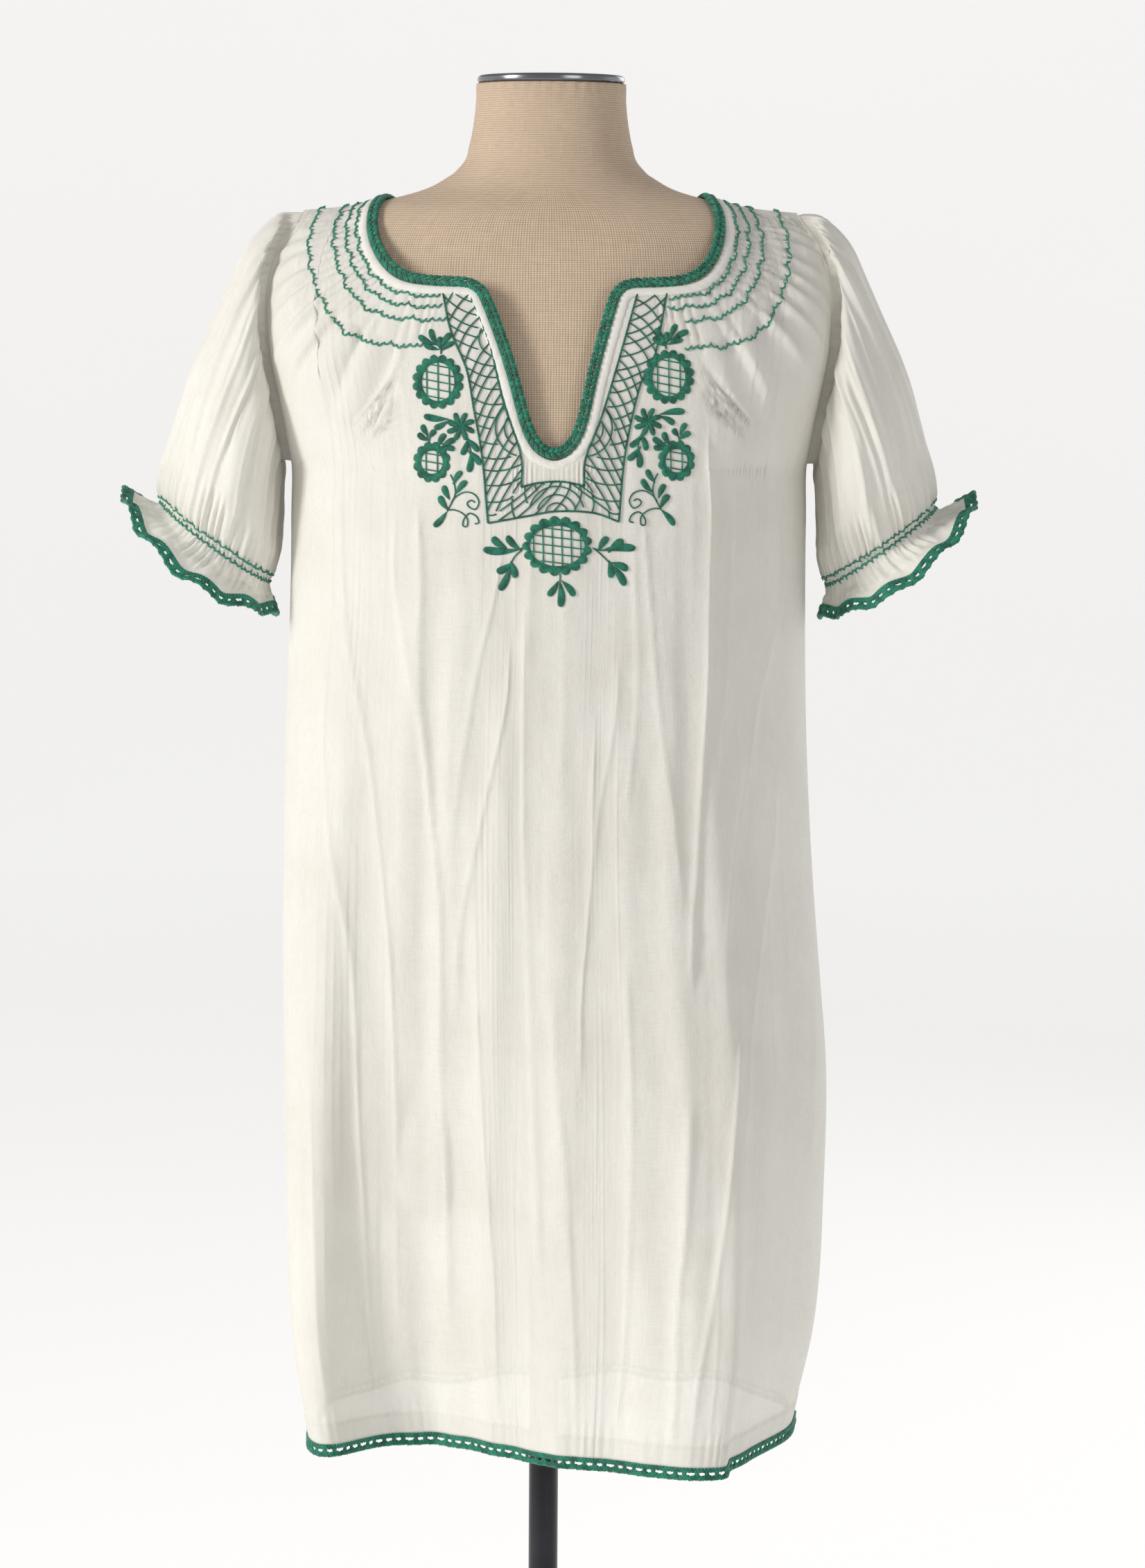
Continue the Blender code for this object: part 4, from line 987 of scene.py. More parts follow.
def sleeve_points(edges, side):
    """Points of one sleeve and their normals, folded, pleated and waved."""
    turn = np.linspace(0, 2 * math.pi, SLEEVE_STEPS, endpoint=False)
    c, s = np.cos(turn), np.sin(turn)
    points = smooth_sleeve(edges, c, s)
    around = np.roll(points, -1, 1) - np.roll(points, 1, 1)
    n = unit(np.cross(np.gradient(points, axis=0), around))
    if ((points - points.mean(1, keepdims=True)) * n).sum() < 0:
        n = -n
    share = SLEEVE_SHARES[:, None]
    lift = sleeve_creases(share, np.degrees(turn)[None, :], side) + sleeve_gathers(share, turn[None, :], side)
    lift *= ease(share / 0.02)
    points = points + n * lift[..., None]
    points[..., 2] += FRILL_RISE * np.sin(FRILL_WAVES * turn + 1.2)[None, :] * ease((share - 1.05) / 0.13)
    sag = (s * s)[None, :] * ease((share - 1.01) / 0.17)
    points[..., 0] += FRILL_SAG[0] * sag
    points[..., 2] -= FRILL_SAG[1] * sag
    points[..., 0] *= side
    n[..., 0] *= side
    return points, n


def make_sleeve(side, edges, look):
    word = "right" if side > 0 else "left"
    points, n = sleeve_points(edges, side)
    faces = grid_quads(*points.shape[:2], closed=True)
    if side < 0:
        faces = faces[:, ::-1]
    around = np.linspace(0, SLEEVE_CUT[0], SLEEVE_STEPS)[None]
    flat = np.stack(np.broadcast_arrays(around, SLEEVE_SHARES[:, None] * SLEEVE_CUT[1]), -1)
    sleeve = link(f"sleeve_{word}_cloth", points, faces, look, flat)
    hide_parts("sleeve_" + word)
    return sleeve, points, n


# thread and crochet


class Threads:
    """Collects round threads, each a tube along a path of points, into one mesh."""

    def __init__(self):
        self.points, self.faces = [], []

    def add(self, path, radius, sides=5, closed=False, flatten=None):
        """radius is one number or one for each point. flatten=(normals, share) presses the tube
        along them."""
        path = np.asarray(path, float)
        count = len(path)
        ahead = np.roll(path, -1, 0) - np.roll(path, 1, 0) if closed else np.gradient(path, axis=0)
        ahead = unit(ahead)
        if flatten is None:
            up = np.zeros_like(path)
            up[:, 2] = 1
            up[np.abs(ahead[:, 2]) > 0.9] = (1, 0, 0)
            share = 1.0
        else:
            up, share = flatten
        across = unit(np.cross(ahead, up))
        up = np.cross(across, ahead)
        turn = np.linspace(0, 2 * math.pi, sides, endpoint=False)
        radius = np.broadcast_to(radius, (count,))[:, None, None]
        round_c, round_s = np.cos(turn)[None, :, None], np.sin(turn)[None, :, None]
        ring = across[:, None] * round_c + share * up[:, None] * round_s
        start = sum(map(len, self.points))
        self.points.append((path[:, None] + ring * radius).reshape(-1, 3))
        for r in range(count if closed else count - 1):
            here, ahead_of = start + r * sides, start + (r + 1) % count * sides
            for k in range(sides):
                j = (k + 1) % sides
                self.faces.append((here + k, ahead_of + k, ahead_of + j, here + j))
        if not closed:
            self.faces.append(tuple(start + k for k in range(sides)))
            self.faces.append(tuple(start + (count - 1) * sides + k for k in range(sides))[::-1])

    def piece(self, name, look):
        return link(name, np.concatenate(self.points), self.faces, look)


def evened(loop, others, steps, closed=True):
    """A path and arrays that go with it, walked in equal steps."""
    if closed:
        loop = np.concatenate([loop, loop[:1]])
        others = [np.concatenate([o, o[:1]]) for o in others]
    walked = np.concatenate([[0], np.cumsum(np.linalg.norm(np.diff(loop, axis=0), axis=1))])
    at = np.linspace(0, walked[-1], steps, endpoint=not closed)
    made = [np.stack([np.interp(at, walked, o[:, k]) for k in range(3)], -1) for o in [loop, *others]]
    return made[0], made[1:], walked[-1]


def rounded_loop(values, reach):
    """Values round a closed loop, each made the mean of its neighbours `reach` steps either way."""
    return sum(np.roll(values, k, 0) for k in range(-reach, reach + 1)) / (2 * reach + 1)


def plait(threads, middle, across, off, count, wide, deep, radius, turn=0.0, lean=1):
    """Three strands plaited `count` times along a closed band.
    middle, across and off are functions of the share of its length."""
    t = np.arange(count * PLAIT_POINTS) / (count * PLAIT_POINTS)
    angle = 2 * math.pi * count * t
    for k in range(3):
        phase = angle + 2 * math.pi * k / 3 + turn
        side = wide * np.sin(phase) * lean
        height = deep * np.sin(2 * phase)
        path = middle(t) + across(t) * side[:, None] + off(t) * height[:, None]
        threads.add(path, radius, sides=4, closed=True, flatten=(off(t), 0.85))


def along_closed(values):
    """A function of the share of a closed loop's length that looks up `values`."""
    count = len(values)
    grid = np.arange(count + 1) / count
    closed = np.concatenate([values, values[:1]])

    def at(t):
        return np.stack([np.interp(np.mod(t, 1), grid, closed[:, k]) for k in range(3)], -1)

    return at


def open_crochet(threads, centre, side, lift, length, bars, stout):
    """Two plaits joined by bars, with holes between the bars and a small loop beside each."""
    cells = round(length / HOLE_PITCH)

    def top(t):
        return centre(t) - side(t) * TOP_PLAIT_IN

    def low(t):
        scallop = LOW_PLAIT_OUT + SCALLOP_OUT * np.cos(2 * math.pi * cells * t)
        return centre(t) + side(t) * scallop[:, None]

    plait(threads, top, side, lift, cells, 0.00095, 0.00055, PLAIT_THREADS[0] * stout)
    plait(threads, low, side, lift, cells, 0.00105, 0.00060, PLAIT_THREADS[1] * stout, turn=1.1, lean=-1)
    for k in range(cells):
        t0 = (k + 0.5 + 0.10 * math.sin(2.3 * k)) / cells
        u = np.linspace(-1, 1, 4)
        for lean in np.linspace(-1, 1, bars):
            t = t0 + (0.055 * (bars - 1) * lean + 0.07 * (1 - abs(lean)) * u) / cells
            arch = 0.0005 * (1 - abs(lean)) * np.cos(u * 1.5)
            path = centre(t) + side(t) * (BAR_HALF * u)[:, None] + lift(t) * arch[:, None]
            threads.add(path, BAR_THREAD * stout, sides=4, flatten=(lift(t), 0.85))
        u = np.linspace(0, math.pi, 6)
        t = t0 + 0.34 * np.cos(u) / cells
        out = LOOP_OUT[0] + LOOP_OUT[1] * np.sin(u)
        path = centre(t) + side(t) * out[:, None] + lift(t) * 0.0005
        threads.add(path, LOOP_THREAD * stout, sides=4, flatten=(lift(t), 0.9))


def closed_crochet(threads, centre, side, lift, length):
    """Two rows of slanted links of two strands, held together by a thin cord under their outer ends."""
    links = round(length / LINK_PITCH)
    u = np.linspace(-1, 1, len(LINK_SWELL))
    for sign in (-1, 1):
        for k in range(links):
            t0 = (k + 0.25 * sign + 0.06 * math.sin(2.9 * k)) / links
            for strand in (-1, 1):
                t = t0 + (0.56 * u + 0.10 * strand * (1 + 0.6 * u)) / links
                out = sign * (LINK_MIDDLE + LINK_HALF * u - 0.0003 * strand * (1 - u * u))
                high = 0.0017 * (1 - u * u) - 0.0006 * u
                path = centre(t) + side(t) * out[:, None] + lift(t) * high[:, None]
                threads.add(path, LINK_THREAD * LINK_SWELL, sides=5, flatten=(lift(t), 0.95))
        t = np.arange(4 * links) / (4 * links)
        out = sign * (0.0026 + 0.0004 * np.cos(2 * math.pi * links * t))
        path = centre(t) + side(t) * out[:, None] - lift(t) * 0.0003
        threads.add(path, CORD_THREAD, sides=5, closed=True, flatten=(lift(t), 0.9))


def crochet_band(name, node, inner, outer, off, look, bars=0, stout=1.0):
    """Crocheted edging between two closed lines of points: open work where it has bars, otherwise closed."""
    steps = 1200 if bars else 400
    middle, (inner, outer, off), length = evened((inner + outer) / 2, [inner, outer, off], steps)
    across = outer - inner
    if not bars:
        middle, across, off = (rounded_loop(values, 5) for values in (middle, across, off))
    across = unit(across)
    off = unit(off - across * (off * across).sum(1, keepdims=True))
    centre, side, lift = along_closed(middle), along_closed(across), along_closed(off)
    threads = Threads()
    if bars:
        open_crochet(threads, centre, side, lift, length, bars, stout)
    else:
        closed_crochet(threads, centre, side, lift, length)
    made = threads.piece(name, look)
    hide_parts(node)


HOLE_PITCH = 0.0074
LINK_PITCH = 0.0046
CUFF_TURNED = 0.35      # how much of the frill's slope to the front and back its edging keeps
NECK_LENGTH = 1.05      # about the length of the binding, which only sets how its weave runs
# in open work, how far the plaits, bars and loops lie from the middle line
TOP_PLAIT_IN, LOW_PLAIT_OUT = 0.0024, 0.0026
SCALLOP_OUT = 0.00055
BAR_HALF = 0.0021
LOOP_OUT = 0.0029, 0.0009       # the foot of a loop and its height over that
# in closed work, the middle and the half length of a link's way across
LINK_MIDDLE, LINK_HALF = 0.00170, 0.00195
# radii of the threads
PLAIT_THREADS = (0.00092, 0.00098)
BAR_THREAD = 0.00078
LOOP_THREAD = 0.00080
LINK_THREAD = 0.00096
CORD_THREAD = 0.0008
LINK_SWELL = np.array([0.55, 0.66, 0.82, 1.0, 1.12, 1.0, 0.62])     # a link's thickness along it
PLAIT_POINTS = 8
NECK_EDGING_LIFT = 0.0008
BINDING_LIFT = 0.0013   # how far the middle of the binding stands out
BINDING_RIPPLE = 0.00022


def neck_edging(look):
    inner, outer = neck_loop(-EDGING / 2), neck_loop(EDGING / 2)
    along = np.roll(inner, -1, 0) - np.roll(inner, 1, 0)
    off = unit(np.cross(outer - inner, along))
    if (off[:, 1] * np.sign(inner[:, 1] - 1e-9)).sum() < 0:
        off = -off
    lifted = off * NECK_EDGING_LIFT
    crochet_band("neck_crochet", "neck_edging", inner + lifted, outer + lifted, off, look)


def hem_edging(front, back, look):
    """front and back are the points and normals along the lower edges of the panels."""
    loop = np.concatenate([front[0], back[0][::-1][1:-1]])
    off = np.concatenate([front[1], back[1][::-1][1:-1]])
    off[:, 2] = 0
    off = unit(off)
    loop[[0, len(front[0]) - 1], 1] = 0
    inner = loop - np.array([0, 0, SEAM - 0.0004])
    outer = loop - np.array([0, 0, SEAM + EDGING])
    crochet_band("hem_crochet", "hem_edging", inner, outer, off, look, bars=3)


def cuff_edging(word, points, n, look):
    away = unit((points[-1] - points[-3]) * (1, CUFF_TURNED, 1))
    inner = points[-1] + away * 0.0002
    outer = points[-1] + away * EDGING
    off = unit(n[-1] - away * (n[-1] * away).sum(1, keepdims=True))
    crochet_band("cuff_crochet_" + word, "cuff_edging_" + word, inner, outer, off, look, bars=4, stout=1.3)


def neck_binding(look):
    """The plain folded strip between the crochet and the embroidery, with a rounded section."""
    start = EDGING / 2 - 0.0004
    shares = np.linspace(0, 1, 9)
    lines = [neck_loop(start + BINDING * share) for share in shares]
    rows = np.array([rounded_loop(evened(line, [], 480)[0], 3) for line in lines])
    n = normals_of(np.concatenate([rows, rows[:, :1]], 1), 0 * rows[0, 0] + (0, -1, 0))[:, :-1]
    n = unit(np.roll(n, 1, 1) + n + np.roll(n, -1, 1))
    lift = (0.0002 + BINDING_LIFT * np.sin(math.pi * np.clip(shares, 0.04, 0.96)) ** 0.5)[:, None]
    # drawn up a little by the gathers that it holds
    k = np.arange(rows.shape[1])
    lift = lift + BINDING_RIPPLE * shares[:, None] * np.sin(1.9 * k + 1.4 * np.sin(0.37 * k))
    ring = np.concatenate([rows + n * lift[..., None], (rows - n * 0.0004)[::-1]])
    faces = grid_quads(len(ring) + 1, ring.shape[1], closed=True) % (len(ring) * ring.shape[1])
    along = np.linspace(0, NECK_LENGTH, ring.shape[1])
    flat = np.stack(np.broadcast_arrays(along[None], np.linspace(0, 2 * BINDING, len(ring))[:, None]), -1)
    made = link("neck_binding_cloth", ring, faces, look, flat)
    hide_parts("neck_binding")


# embroidery on the front

# Where each motif sits is read off in pixels of the photograph (y down). Sizes of rings are in mm.
PIXELS_PER_MM = 2.15
LEFT_LARGE, RIGHT_LARGE = (632, 551), (965, 544)
LEFT_SMALL, RIGHT_SMALL = (623, 667), (976, 665)
LEFT_STAR, RIGHT_STAR = (664.5, 615.5), (935, 609)
MIDDLE_RING = (804, 788)
# rings: half width and half height outside, the same inside, and the number of scallops
LARGE_RING_SIZE = (17.4, 18.4), (11.0, 13.0), 16
SMALL_RING_SIZE = (12.6, 13.9), (7.4, 7.9), 12
MIDDLE_RING_SIZE = (23.6, 20.2), (18.4, 13.6), 17
SCALLOP = 0.16          # how deep the scallops are beside the ring's half width
STAR_FROM_TO = 1.4, 9.8     # mm from a star's middle to the foot and the tip of its eight leaves
STAR_LEAF_WIDE = 2.2
THREAD = 0.00026        # radius of a satin stitch
LINE_THREAD = 0.00052
WINDOW_THREAD = 0.00048
EDGE_THREAD = 0.00072
ROW_THREAD = 0.00066
SPUR_THREAD = (0.00056, 0.00050, 0.00030)
STITCH_PITCH = 0.46     # mm between two stitches of a filled shape
FILL_HEIGHT = 0.0010
RIM_HEIGHT = 0.0013
SHORT_LEAF = 26         # pixels; a leaf under this length starts further down its stem
LEAF_FULL = (1.2, 0.95)      # mm added to a leaf's width, and what it is multiplied by
WINDOW_THREADS = (6.8, 5.2)     # mm between the threads of a ring's window, across and down

# leaves by motif: base and tip away from the motif's centre, then the width in mm
LARGE_LEAVES = (
    (-9, -56, -28, -66, 2.9), (-3, -57, -11, -76, 2.7), (3, -50, 3, -65, 2.3),
    (7, -54, 19, -70, 3.0), (8, -47, 23, -57, 2.3), (-3, -48, -20, -54, 2.3),
)
SMALL_LEAVES = (
    (-7, -41, -14, -54, 2.5), (-2, -37, 5, -46, 2.5), (-8, -33, -20, -41, 2.7),
    (11, -26, 19, -41, 2.8), (18, -24, 34, -33, 2.8), (18, -20, 33, -19, 2.6),
    (33, 28, 43, 13, 2.6), (38, 42, 50, 27, 2.8), (24, 50, 17, 34, 2.9), (21, 65, 11, 49, 3.0),
    (22, 71, 3, 93, 2.9),
)
STAR_LEAVES = (
    (-17, -11, -53, -15, 3.2), (-22, -6, -38, 3, 2.7), (9, 22, 2, 41, 2.7),
    (11, 21, 26, 36, 2.6), (14, 39, 29, 55, 3.0), (14, 44, 12, 66, 3.2),
)
MIDDLE_LEAVES = (
    (-57, 6, -107, 5, 3.9), (-72, 4, -94, -12, 3.6), (-57, 2, -73, -14, 3.3),
    (-69, 27, -87, 38, 3.6), (-67, 29, -83, 64, 3.8), (-66, 27, -60, 46, 3.3),
    (63, 7, 113, 3, 3.9), (78, 6, 95, -9, 3.6), (62, 3, 73, -13, 3.3),
    (77, 24, 102, 34, 3.6), (78, 27, 98, 57, 3.8), (75, 26, 78, 46, 3.3),
    (2, 50, -13, 72, 3.1), (3.5, 51, 5, 88, 3.8), (6, 50, 25, 72, 3.2),
)
# stems and tendrils by motif: points away from the motif's centre
LARGE_STEMS = (((4, -40), (3, -50), (-10, -57)), ((4, -40), (4, -50), (-4, -58)), ((4, -41), (8, -52)))
SMALL_STEMS = (
    ((-3, -26), (-6, -34), (-7, -41)), ((-4, -30), (-2, -38)),
    ((7, -22), (12, -27), (18, -25)), ((10, -22), (19, -20)),
    ((27, 18), (32, 30), (34, 44), (30, 56), (22, 71)), ((34, 44), (39, 41)), ((33, 30), (35, 27)),
    ((28, 58), (36, 49), (49, 43), (62, 47), (68, 58), (63, 68), (54, 65), (51, 59), (57, 55), (62, 58)),
    ((24, 69), (33, 69), (43, 73), (51, 81), (51, 92), (45, 92), (46, 83), (54, 74), (64, 78), (68, 87),
     (62, 89)),
)
STAR_STEMS = (((-4, -3), (-14, -9), (-22, -6)), ((6, 10), (12, 24), (15, 42)))
MIDDLE_STEMS = (
    ((-48, 2), (-57, 5), (-72, 5)), ((-50, 5), (-61, 15), (-68, 27)), ((51, 3), (62, 6), (78, 6)),
    ((52, 3), (64, 13), (76, 25)), ((4, 40), (4, 51)),
)
# edges of the bands of crossed threads, top to bottom
LEFT_OUTER = ((638, 416), (650, 476), (673, 533), (684, 592), (696, 662), (704, 755))
LEFT_INNER = ((674, 416), (706, 496), (726, 579), (751, 655), (752, 703))
RIGHT_OUTER = ((963, 418), (945, 513), (923, 559), (902, 655), (893, 753))
RIGHT_INNER = ((920, 423), (892, 523), (867, 605), (845, 662), (843, 702))
LOW_TOP = ((752, 703), (776, 697), (810, 695), (843, 701))
LOW_EDGE = ((704, 755), (760, 745), (802, 738), (855, 740), (893, 753))
CROSSING = 19.0         # pixels between two threads of a band
BAND_REACH, LOW_REACH = 36, 40      # pixels along the band that a thread runs while it crosses
LOWER_THREADS, UPPER_THREADS = 0.00045, 0.00070     # their lift off the cloth
LOW_FAN_FROM_TO = 790, 820      # fans whose centre lies between these aren't cut off by a band
FAN_CLEAR = 3           # pixels outside a fan's last arc that stay clear of the other threads
# arcs of the fans in the bands: centre, radii, from and to degrees (0 is right, 90 is up)
FANS = (
    ((756, 618), (15, 28, 41), 120, 262),
    ((842, 618), (15, 28, 41), -82, 60),
    ((803, 742), (16, 28, 40), 14, 166),
    ((718, 488), (14, 27), 150, 250),
)


class Cloth:
    """A made panel that other pieces are laid on."""

    def __init__(self, piece):
        mesh = piece.data
        points = [v.co.copy() for v in mesh.vertices]
        self.tree = BVHTree.FromPolygons(points, [tuple(p.vertices) for p in mesh.polygons])

    def at_pixels(self, pixels, lift):
        """Points over the front where the photograph has these pixels, and their normals."""
        points, normals = [], []
        lift = np.broadcast_to(lift, (len(pixels),))
        for (px, py), high in zip(pixels, lift):
            start, ray = photo_ray(px, py)
            hit, normal, _, _ = self.tree.ray_cast(start, ray)
            if hit is None:
                hit, normal, _, _ = self.tree.find_nearest(start + ray * 3.1)
            if normal.y > 0:
                normal = -normal
            normal = (normal * 0.3 + Vector((0, -1, 0.03)) * 0.7).normalized()
            points.append(hit + normal * high)
            normals.append(normal)
        return np.array(points), np.array(normals)

    def nearest(self, places, outwards):
        """The nearest points of the cloth and its normals, turned outwards."""
        points, normals = [], []
        for place, out in zip(places, outwards):
            hit, normal, _, _ = self.tree.find_nearest(Vector(place))
            if normal.dot(Vector(out)) < 0:
                normal = -normal
            points.append(hit)
            normals.append((normal + Vector(out)).normalized())
        return np.array(points), np.array(normals)


def satin(threads, cloth, first, second, height=FILL_HEIGHT, slant=0.0):
    """Filled with side-by-side stitches from one edge to the other. Both edges are lists of pixels."""
    first, second = np.asarray(first, float), np.asarray(second, float)
    middle = (first + second) / 2
    length = np.linalg.norm(np.diff(middle, axis=0), axis=1).sum() / PIXELS_PER_MM
    count = max(4, int(length / STITCH_PITCH))
    at = (np.arange(count) + 0.5) / count
    a = path_at(first, at)
    b = path_at(second, np.clip(at + slant, 0, 1))
    across = np.array([0, 0.16, 0.5, 0.84, 1])
    dome = np.array([0.0, 0.78, 1.0, 0.78, 0.0])
    for k, (p, q) in enumerate(zip(a, b)):
        wide = np.linalg.norm(q - p)
        if wide < 0.8:
            continue
        jitter = 1 + 0.025 * math.sin(5.1 * k)
        pixels = (p + q) / 2 + (across[:, None] - 0.5) * (q - p) * jitter
        rise = 0.00012 + height * min(1, wide / 5) * dome * (1 + 0.05 * math.sin(3.7 * k))
        points, normals = cloth.at_pixels(pixels, rise)
        threads.add(points, THREAD, sides=4, flatten=(normals, 1.0))


def path_at(path, at):
    """Points of a path at shares of its length."""
    walked = np.concatenate([[0], np.cumsum(np.linalg.norm(np.diff(path, axis=0), axis=1))])
    return np.stack([np.interp(np.asarray(at) * walked[-1], walked, path[:, k]) for k in range(2)], -1)


def leaf(threads, cloth, base, tip, width):
    """A drop: a narrow foot at the base, widest past the middle, round at the tip."""
    base, tip = np.array(base, float), np.array(tip, float)
    if np.linalg.norm(tip - base) < SHORT_LEAF:
        base = base - 0.28 * (tip - base)
    t = np.linspace(0, 1, 24)
    half = 0.5 * (LEAF_FULL[0] + LEAF_FULL[1] * width) * PIXELS_PER_MM * t ** 1.05 * (1 - t) ** 0.42 / 0.382
    half = np.maximum(half, 0.7 * (1 - t) ** 0.5)
    ahead = tip - base
    aside = np.array([ahead[1], -ahead[0]]) / np.linalg.norm(ahead)
    bend = 0.05 * np.sin(math.pi * t)[:, None] * aside * np.linalg.norm(ahead)
    spine = base + t[:, None] * ahead + bend
    satin(threads, cloth, spine + aside * half[:, None], spine - aside * half[:, None], slant=0.05)


def ring(threads, cloth, centre, outer, inner, lobes):
    """A scalloped ring of radial stitches with a raised rim round a window of crossed threads."""
    turn = np.linspace(0, 2 * math.pi, 241)
    outer, inner = np.array(outer) * PIXELS_PER_MM, np.array(inner) * PIXELS_PER_MM
    scallop = 1 - SCALLOP * (1 - np.abs(np.sin(turn * lobes / 2)) ** 0.7)
    way = np.stack([np.cos(turn), np.sin(turn)], -1)
    edge = centre + way * outer * scallop[:, None]
    hole = centre + way * inner
    rim = hole + (edge - hole) * 0.30
    satin(threads, cloth, edge, hole + (edge - hole) * 0.12)
    satin(threads, cloth, rim, hole, height=RIM_HEIGHT)
    reach = inner * 1.03
    for axis, lean in ((0, 0.05), (1, 0.16)):
        lines = int(round(2 * reach[axis] / (WINDOW_THREADS[axis] * PIXELS_PER_MM)))
        for k in range(lines):
            at = (k + 0.5) / lines * 2 - 1
            half = math.sqrt(1 - at * at)
            u = np.linspace(-half, half, 9)
            line = np.stack([at + lean * u * 0.3, u], -1) if axis == 0 else np.stack([u, at + lean * u], -1)
            points, normals = cloth.at_pixels(centre + line * reach, 0.0004 + 0.0002 * axis)
            threads.add(points, WINDOW_THREAD, sides=5, flatten=(normals, 0.9))


def cord_on(threads, cloth, pixels, radius, lift=0.0004, wobble=0.0, step=1.6):
    """A thread along a smooth path of pixels."""
    path = smooth_path(pixels, np.linspace(0, 1, 80)) if len(pixels) > 2 else np.asarray(pixels, float)
    length = np.linalg.norm(np.diff(path, axis=0), axis=1).sum()
    count = max(3, int(length / step))
    path = path_at(path, np.linspace(0, 1, count))
    if wobble:
        ahead = unit(np.gradient(path, axis=0))
        aside = np.stack([ahead[:, 1], -ahead[:, 0]], -1)
        path = path + aside * (wobble * np.sin(np.arange(count) * 2.1))[:, None]
    points, normals = cloth.at_pixels(path, lift)
    threads.add(points, radius, sides=5, flatten=(normals, 0.9))


def inside_band(pixels, left, right):
    """Which pixels lie between two edges that run down."""
    left, right = np.asarray(left, float), np.asarray(right, float)
    low = np.interp(pixels[:, 1], left[:, 1], left[:, 0])
    high = np.interp(pixels[:, 1], right[:, 1], right[:, 0])
    return (pixels[:, 0] > low) & (pixels[:, 0] < high)


def clear_of_fans(pixels):
    """Which pixels lie outside the fans, where only one of the two sets of threads goes on."""
    clear = np.ones(len(pixels), bool)
    for centre, radii, _, _ in FANS:
        clear &= np.linalg.norm(pixels - np.array(centre), axis=1) > radii[-1] + FAN_CLEAR
    return clear


def crossed_band(threads, cloth, first, second, reach):
    """Threads that cross a band both ways. reach is how far along it one runs while it crosses."""
    first, second = (smooth_path(edge, np.linspace(0, 1, 80)) for edge in (first, second))
    length = np.linalg.norm(np.diff((first + second) / 2, axis=0), axis=1).sum()
    count = int(length / CROSSING)
    slide = reach / length
    across = np.linspace(0, 1, 13)
    for k in range(-int(slide * count), count + 1):
        for start, end, level in ((first, second, LOWER_THREADS), (second, first, UPPER_THREADS)):
            t = (k + 0.5) / count + slide * across + 0.006 * math.sin(1.9 * k)
            keep = (t > 0) & (t < 1)
            if keep.sum() < 2:
                continue
            t = t[keep]
            share = across[keep][:, None]
            bow = 0.012 * np.sin(math.pi * share[:, 0]) * (1 if level == LOWER_THREADS else -1)
            bowed = np.clip(t + bow, 0, 1)
            pixels = path_at(start, bowed) * (1 - share) + path_at(end, bowed) * share
            if level == LOWER_THREADS:
                clear = clear_of_fans(pixels)
                if clear.sum() < 2 or np.any(np.diff(np.flatnonzero(clear)) > 1):
                    continue
                pixels = pixels[clear]
            points, normals = cloth.at_pixels(pixels, level)
            threads.add(points, LINE_THREAD, sides=5, flatten=(normals, 0.9))


def motif(filled, lines, cloth, centre, side, leaves, stems):
    """Leaves and stems round a centre, in its mirror image where side is -1."""
    for bx, by, tx, ty, width in leaves:
        base, tip = (centre[0] + side * bx, centre[1] + by), (centre[0] + side * tx, centre[1] + ty)
        leaf(filled, cloth, base, tip, width)
    for stem in stems:
        cord_on(lines, cloth, [(centre[0] + side * x, centre[1] + y) for x, y in stem], LINE_THREAD)


def fan_arcs(lines, cloth):
    for centre, radii, start, end in FANS:
        for radius in radii:
            a = np.radians(np.linspace(start, end, 40))
            arc = centre + radius * np.stack([np.cos(a), -np.sin(a)], -1)
            if centre[0] < LOW_FAN_FROM_TO[0]:
                arc = arc[inside_band(arc, LEFT_OUTER, LEFT_INNER)]
            elif centre[0] > LOW_FAN_FROM_TO[1]:
                arc = arc[inside_band(arc, RIGHT_INNER[:-1] + (LOW_TOP[-1],), RIGHT_OUTER)]
            if len(arc) > 4:
                cord_on(lines, cloth, arc[::3], LINE_THREAD, lift=0.0008)


def embroider(cloth, look, line_look):
    """All that is sewn on the front, apart from the rows of the smocking."""
    filled, lines = Threads(), Threads()
    for side, large, small, star in (
        (1, LEFT_LARGE, LEFT_SMALL, LEFT_STAR), (-1, RIGHT_LARGE, RIGHT_SMALL, RIGHT_STAR),
    ):
        ring(filled, cloth, large, *LARGE_RING_SIZE)
        ring(filled, cloth, small, *SMALL_RING_SIZE)
        motif(filled, lines, cloth, large, side, LARGE_LEAVES, LARGE_STEMS)
        motif(filled, lines, cloth, small, side, SMALL_LEAVES, SMALL_STEMS)
        motif(filled, lines, cloth, star, side, STAR_LEAVES, STAR_STEMS)
        for k in range(8):
            a = math.radians(22 + 45 * k)
            way = np.array([side * math.cos(a), -math.sin(a)]) * PIXELS_PER_MM
            leaf(filled, cloth, *[np.array(star) + way * far for far in STAR_FROM_TO], STAR_LEAF_WIDE)
    ring(filled, cloth, MIDDLE_RING, *MIDDLE_RING_SIZE)
    motif(filled, lines, cloth, MIDDLE_RING, 1, MIDDLE_LEAVES, MIDDLE_STEMS)
    crossed_band(lines, cloth, LEFT_OUTER, LEFT_INNER, BAND_REACH)
    crossed_band(lines, cloth, RIGHT_OUTER, RIGHT_INNER, BAND_REACH)
    crossed_band(lines, cloth, LOW_TOP, LOW_EDGE, LOW_REACH)
    fan_arcs(lines, cloth)
    for edge in (LEFT_OUTER, LEFT_INNER, RIGHT_OUTER, RIGHT_INNER, LOW_TOP, LOW_EDGE):
        cord_on(lines, cloth, edge, EDGE_THREAD, lift=0.0005, wobble=0.3)
    for piece in (filled.piece("embroidered_flowers", look), lines.piece("embroidered_lines", line_look)):
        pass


# rows of the smocking

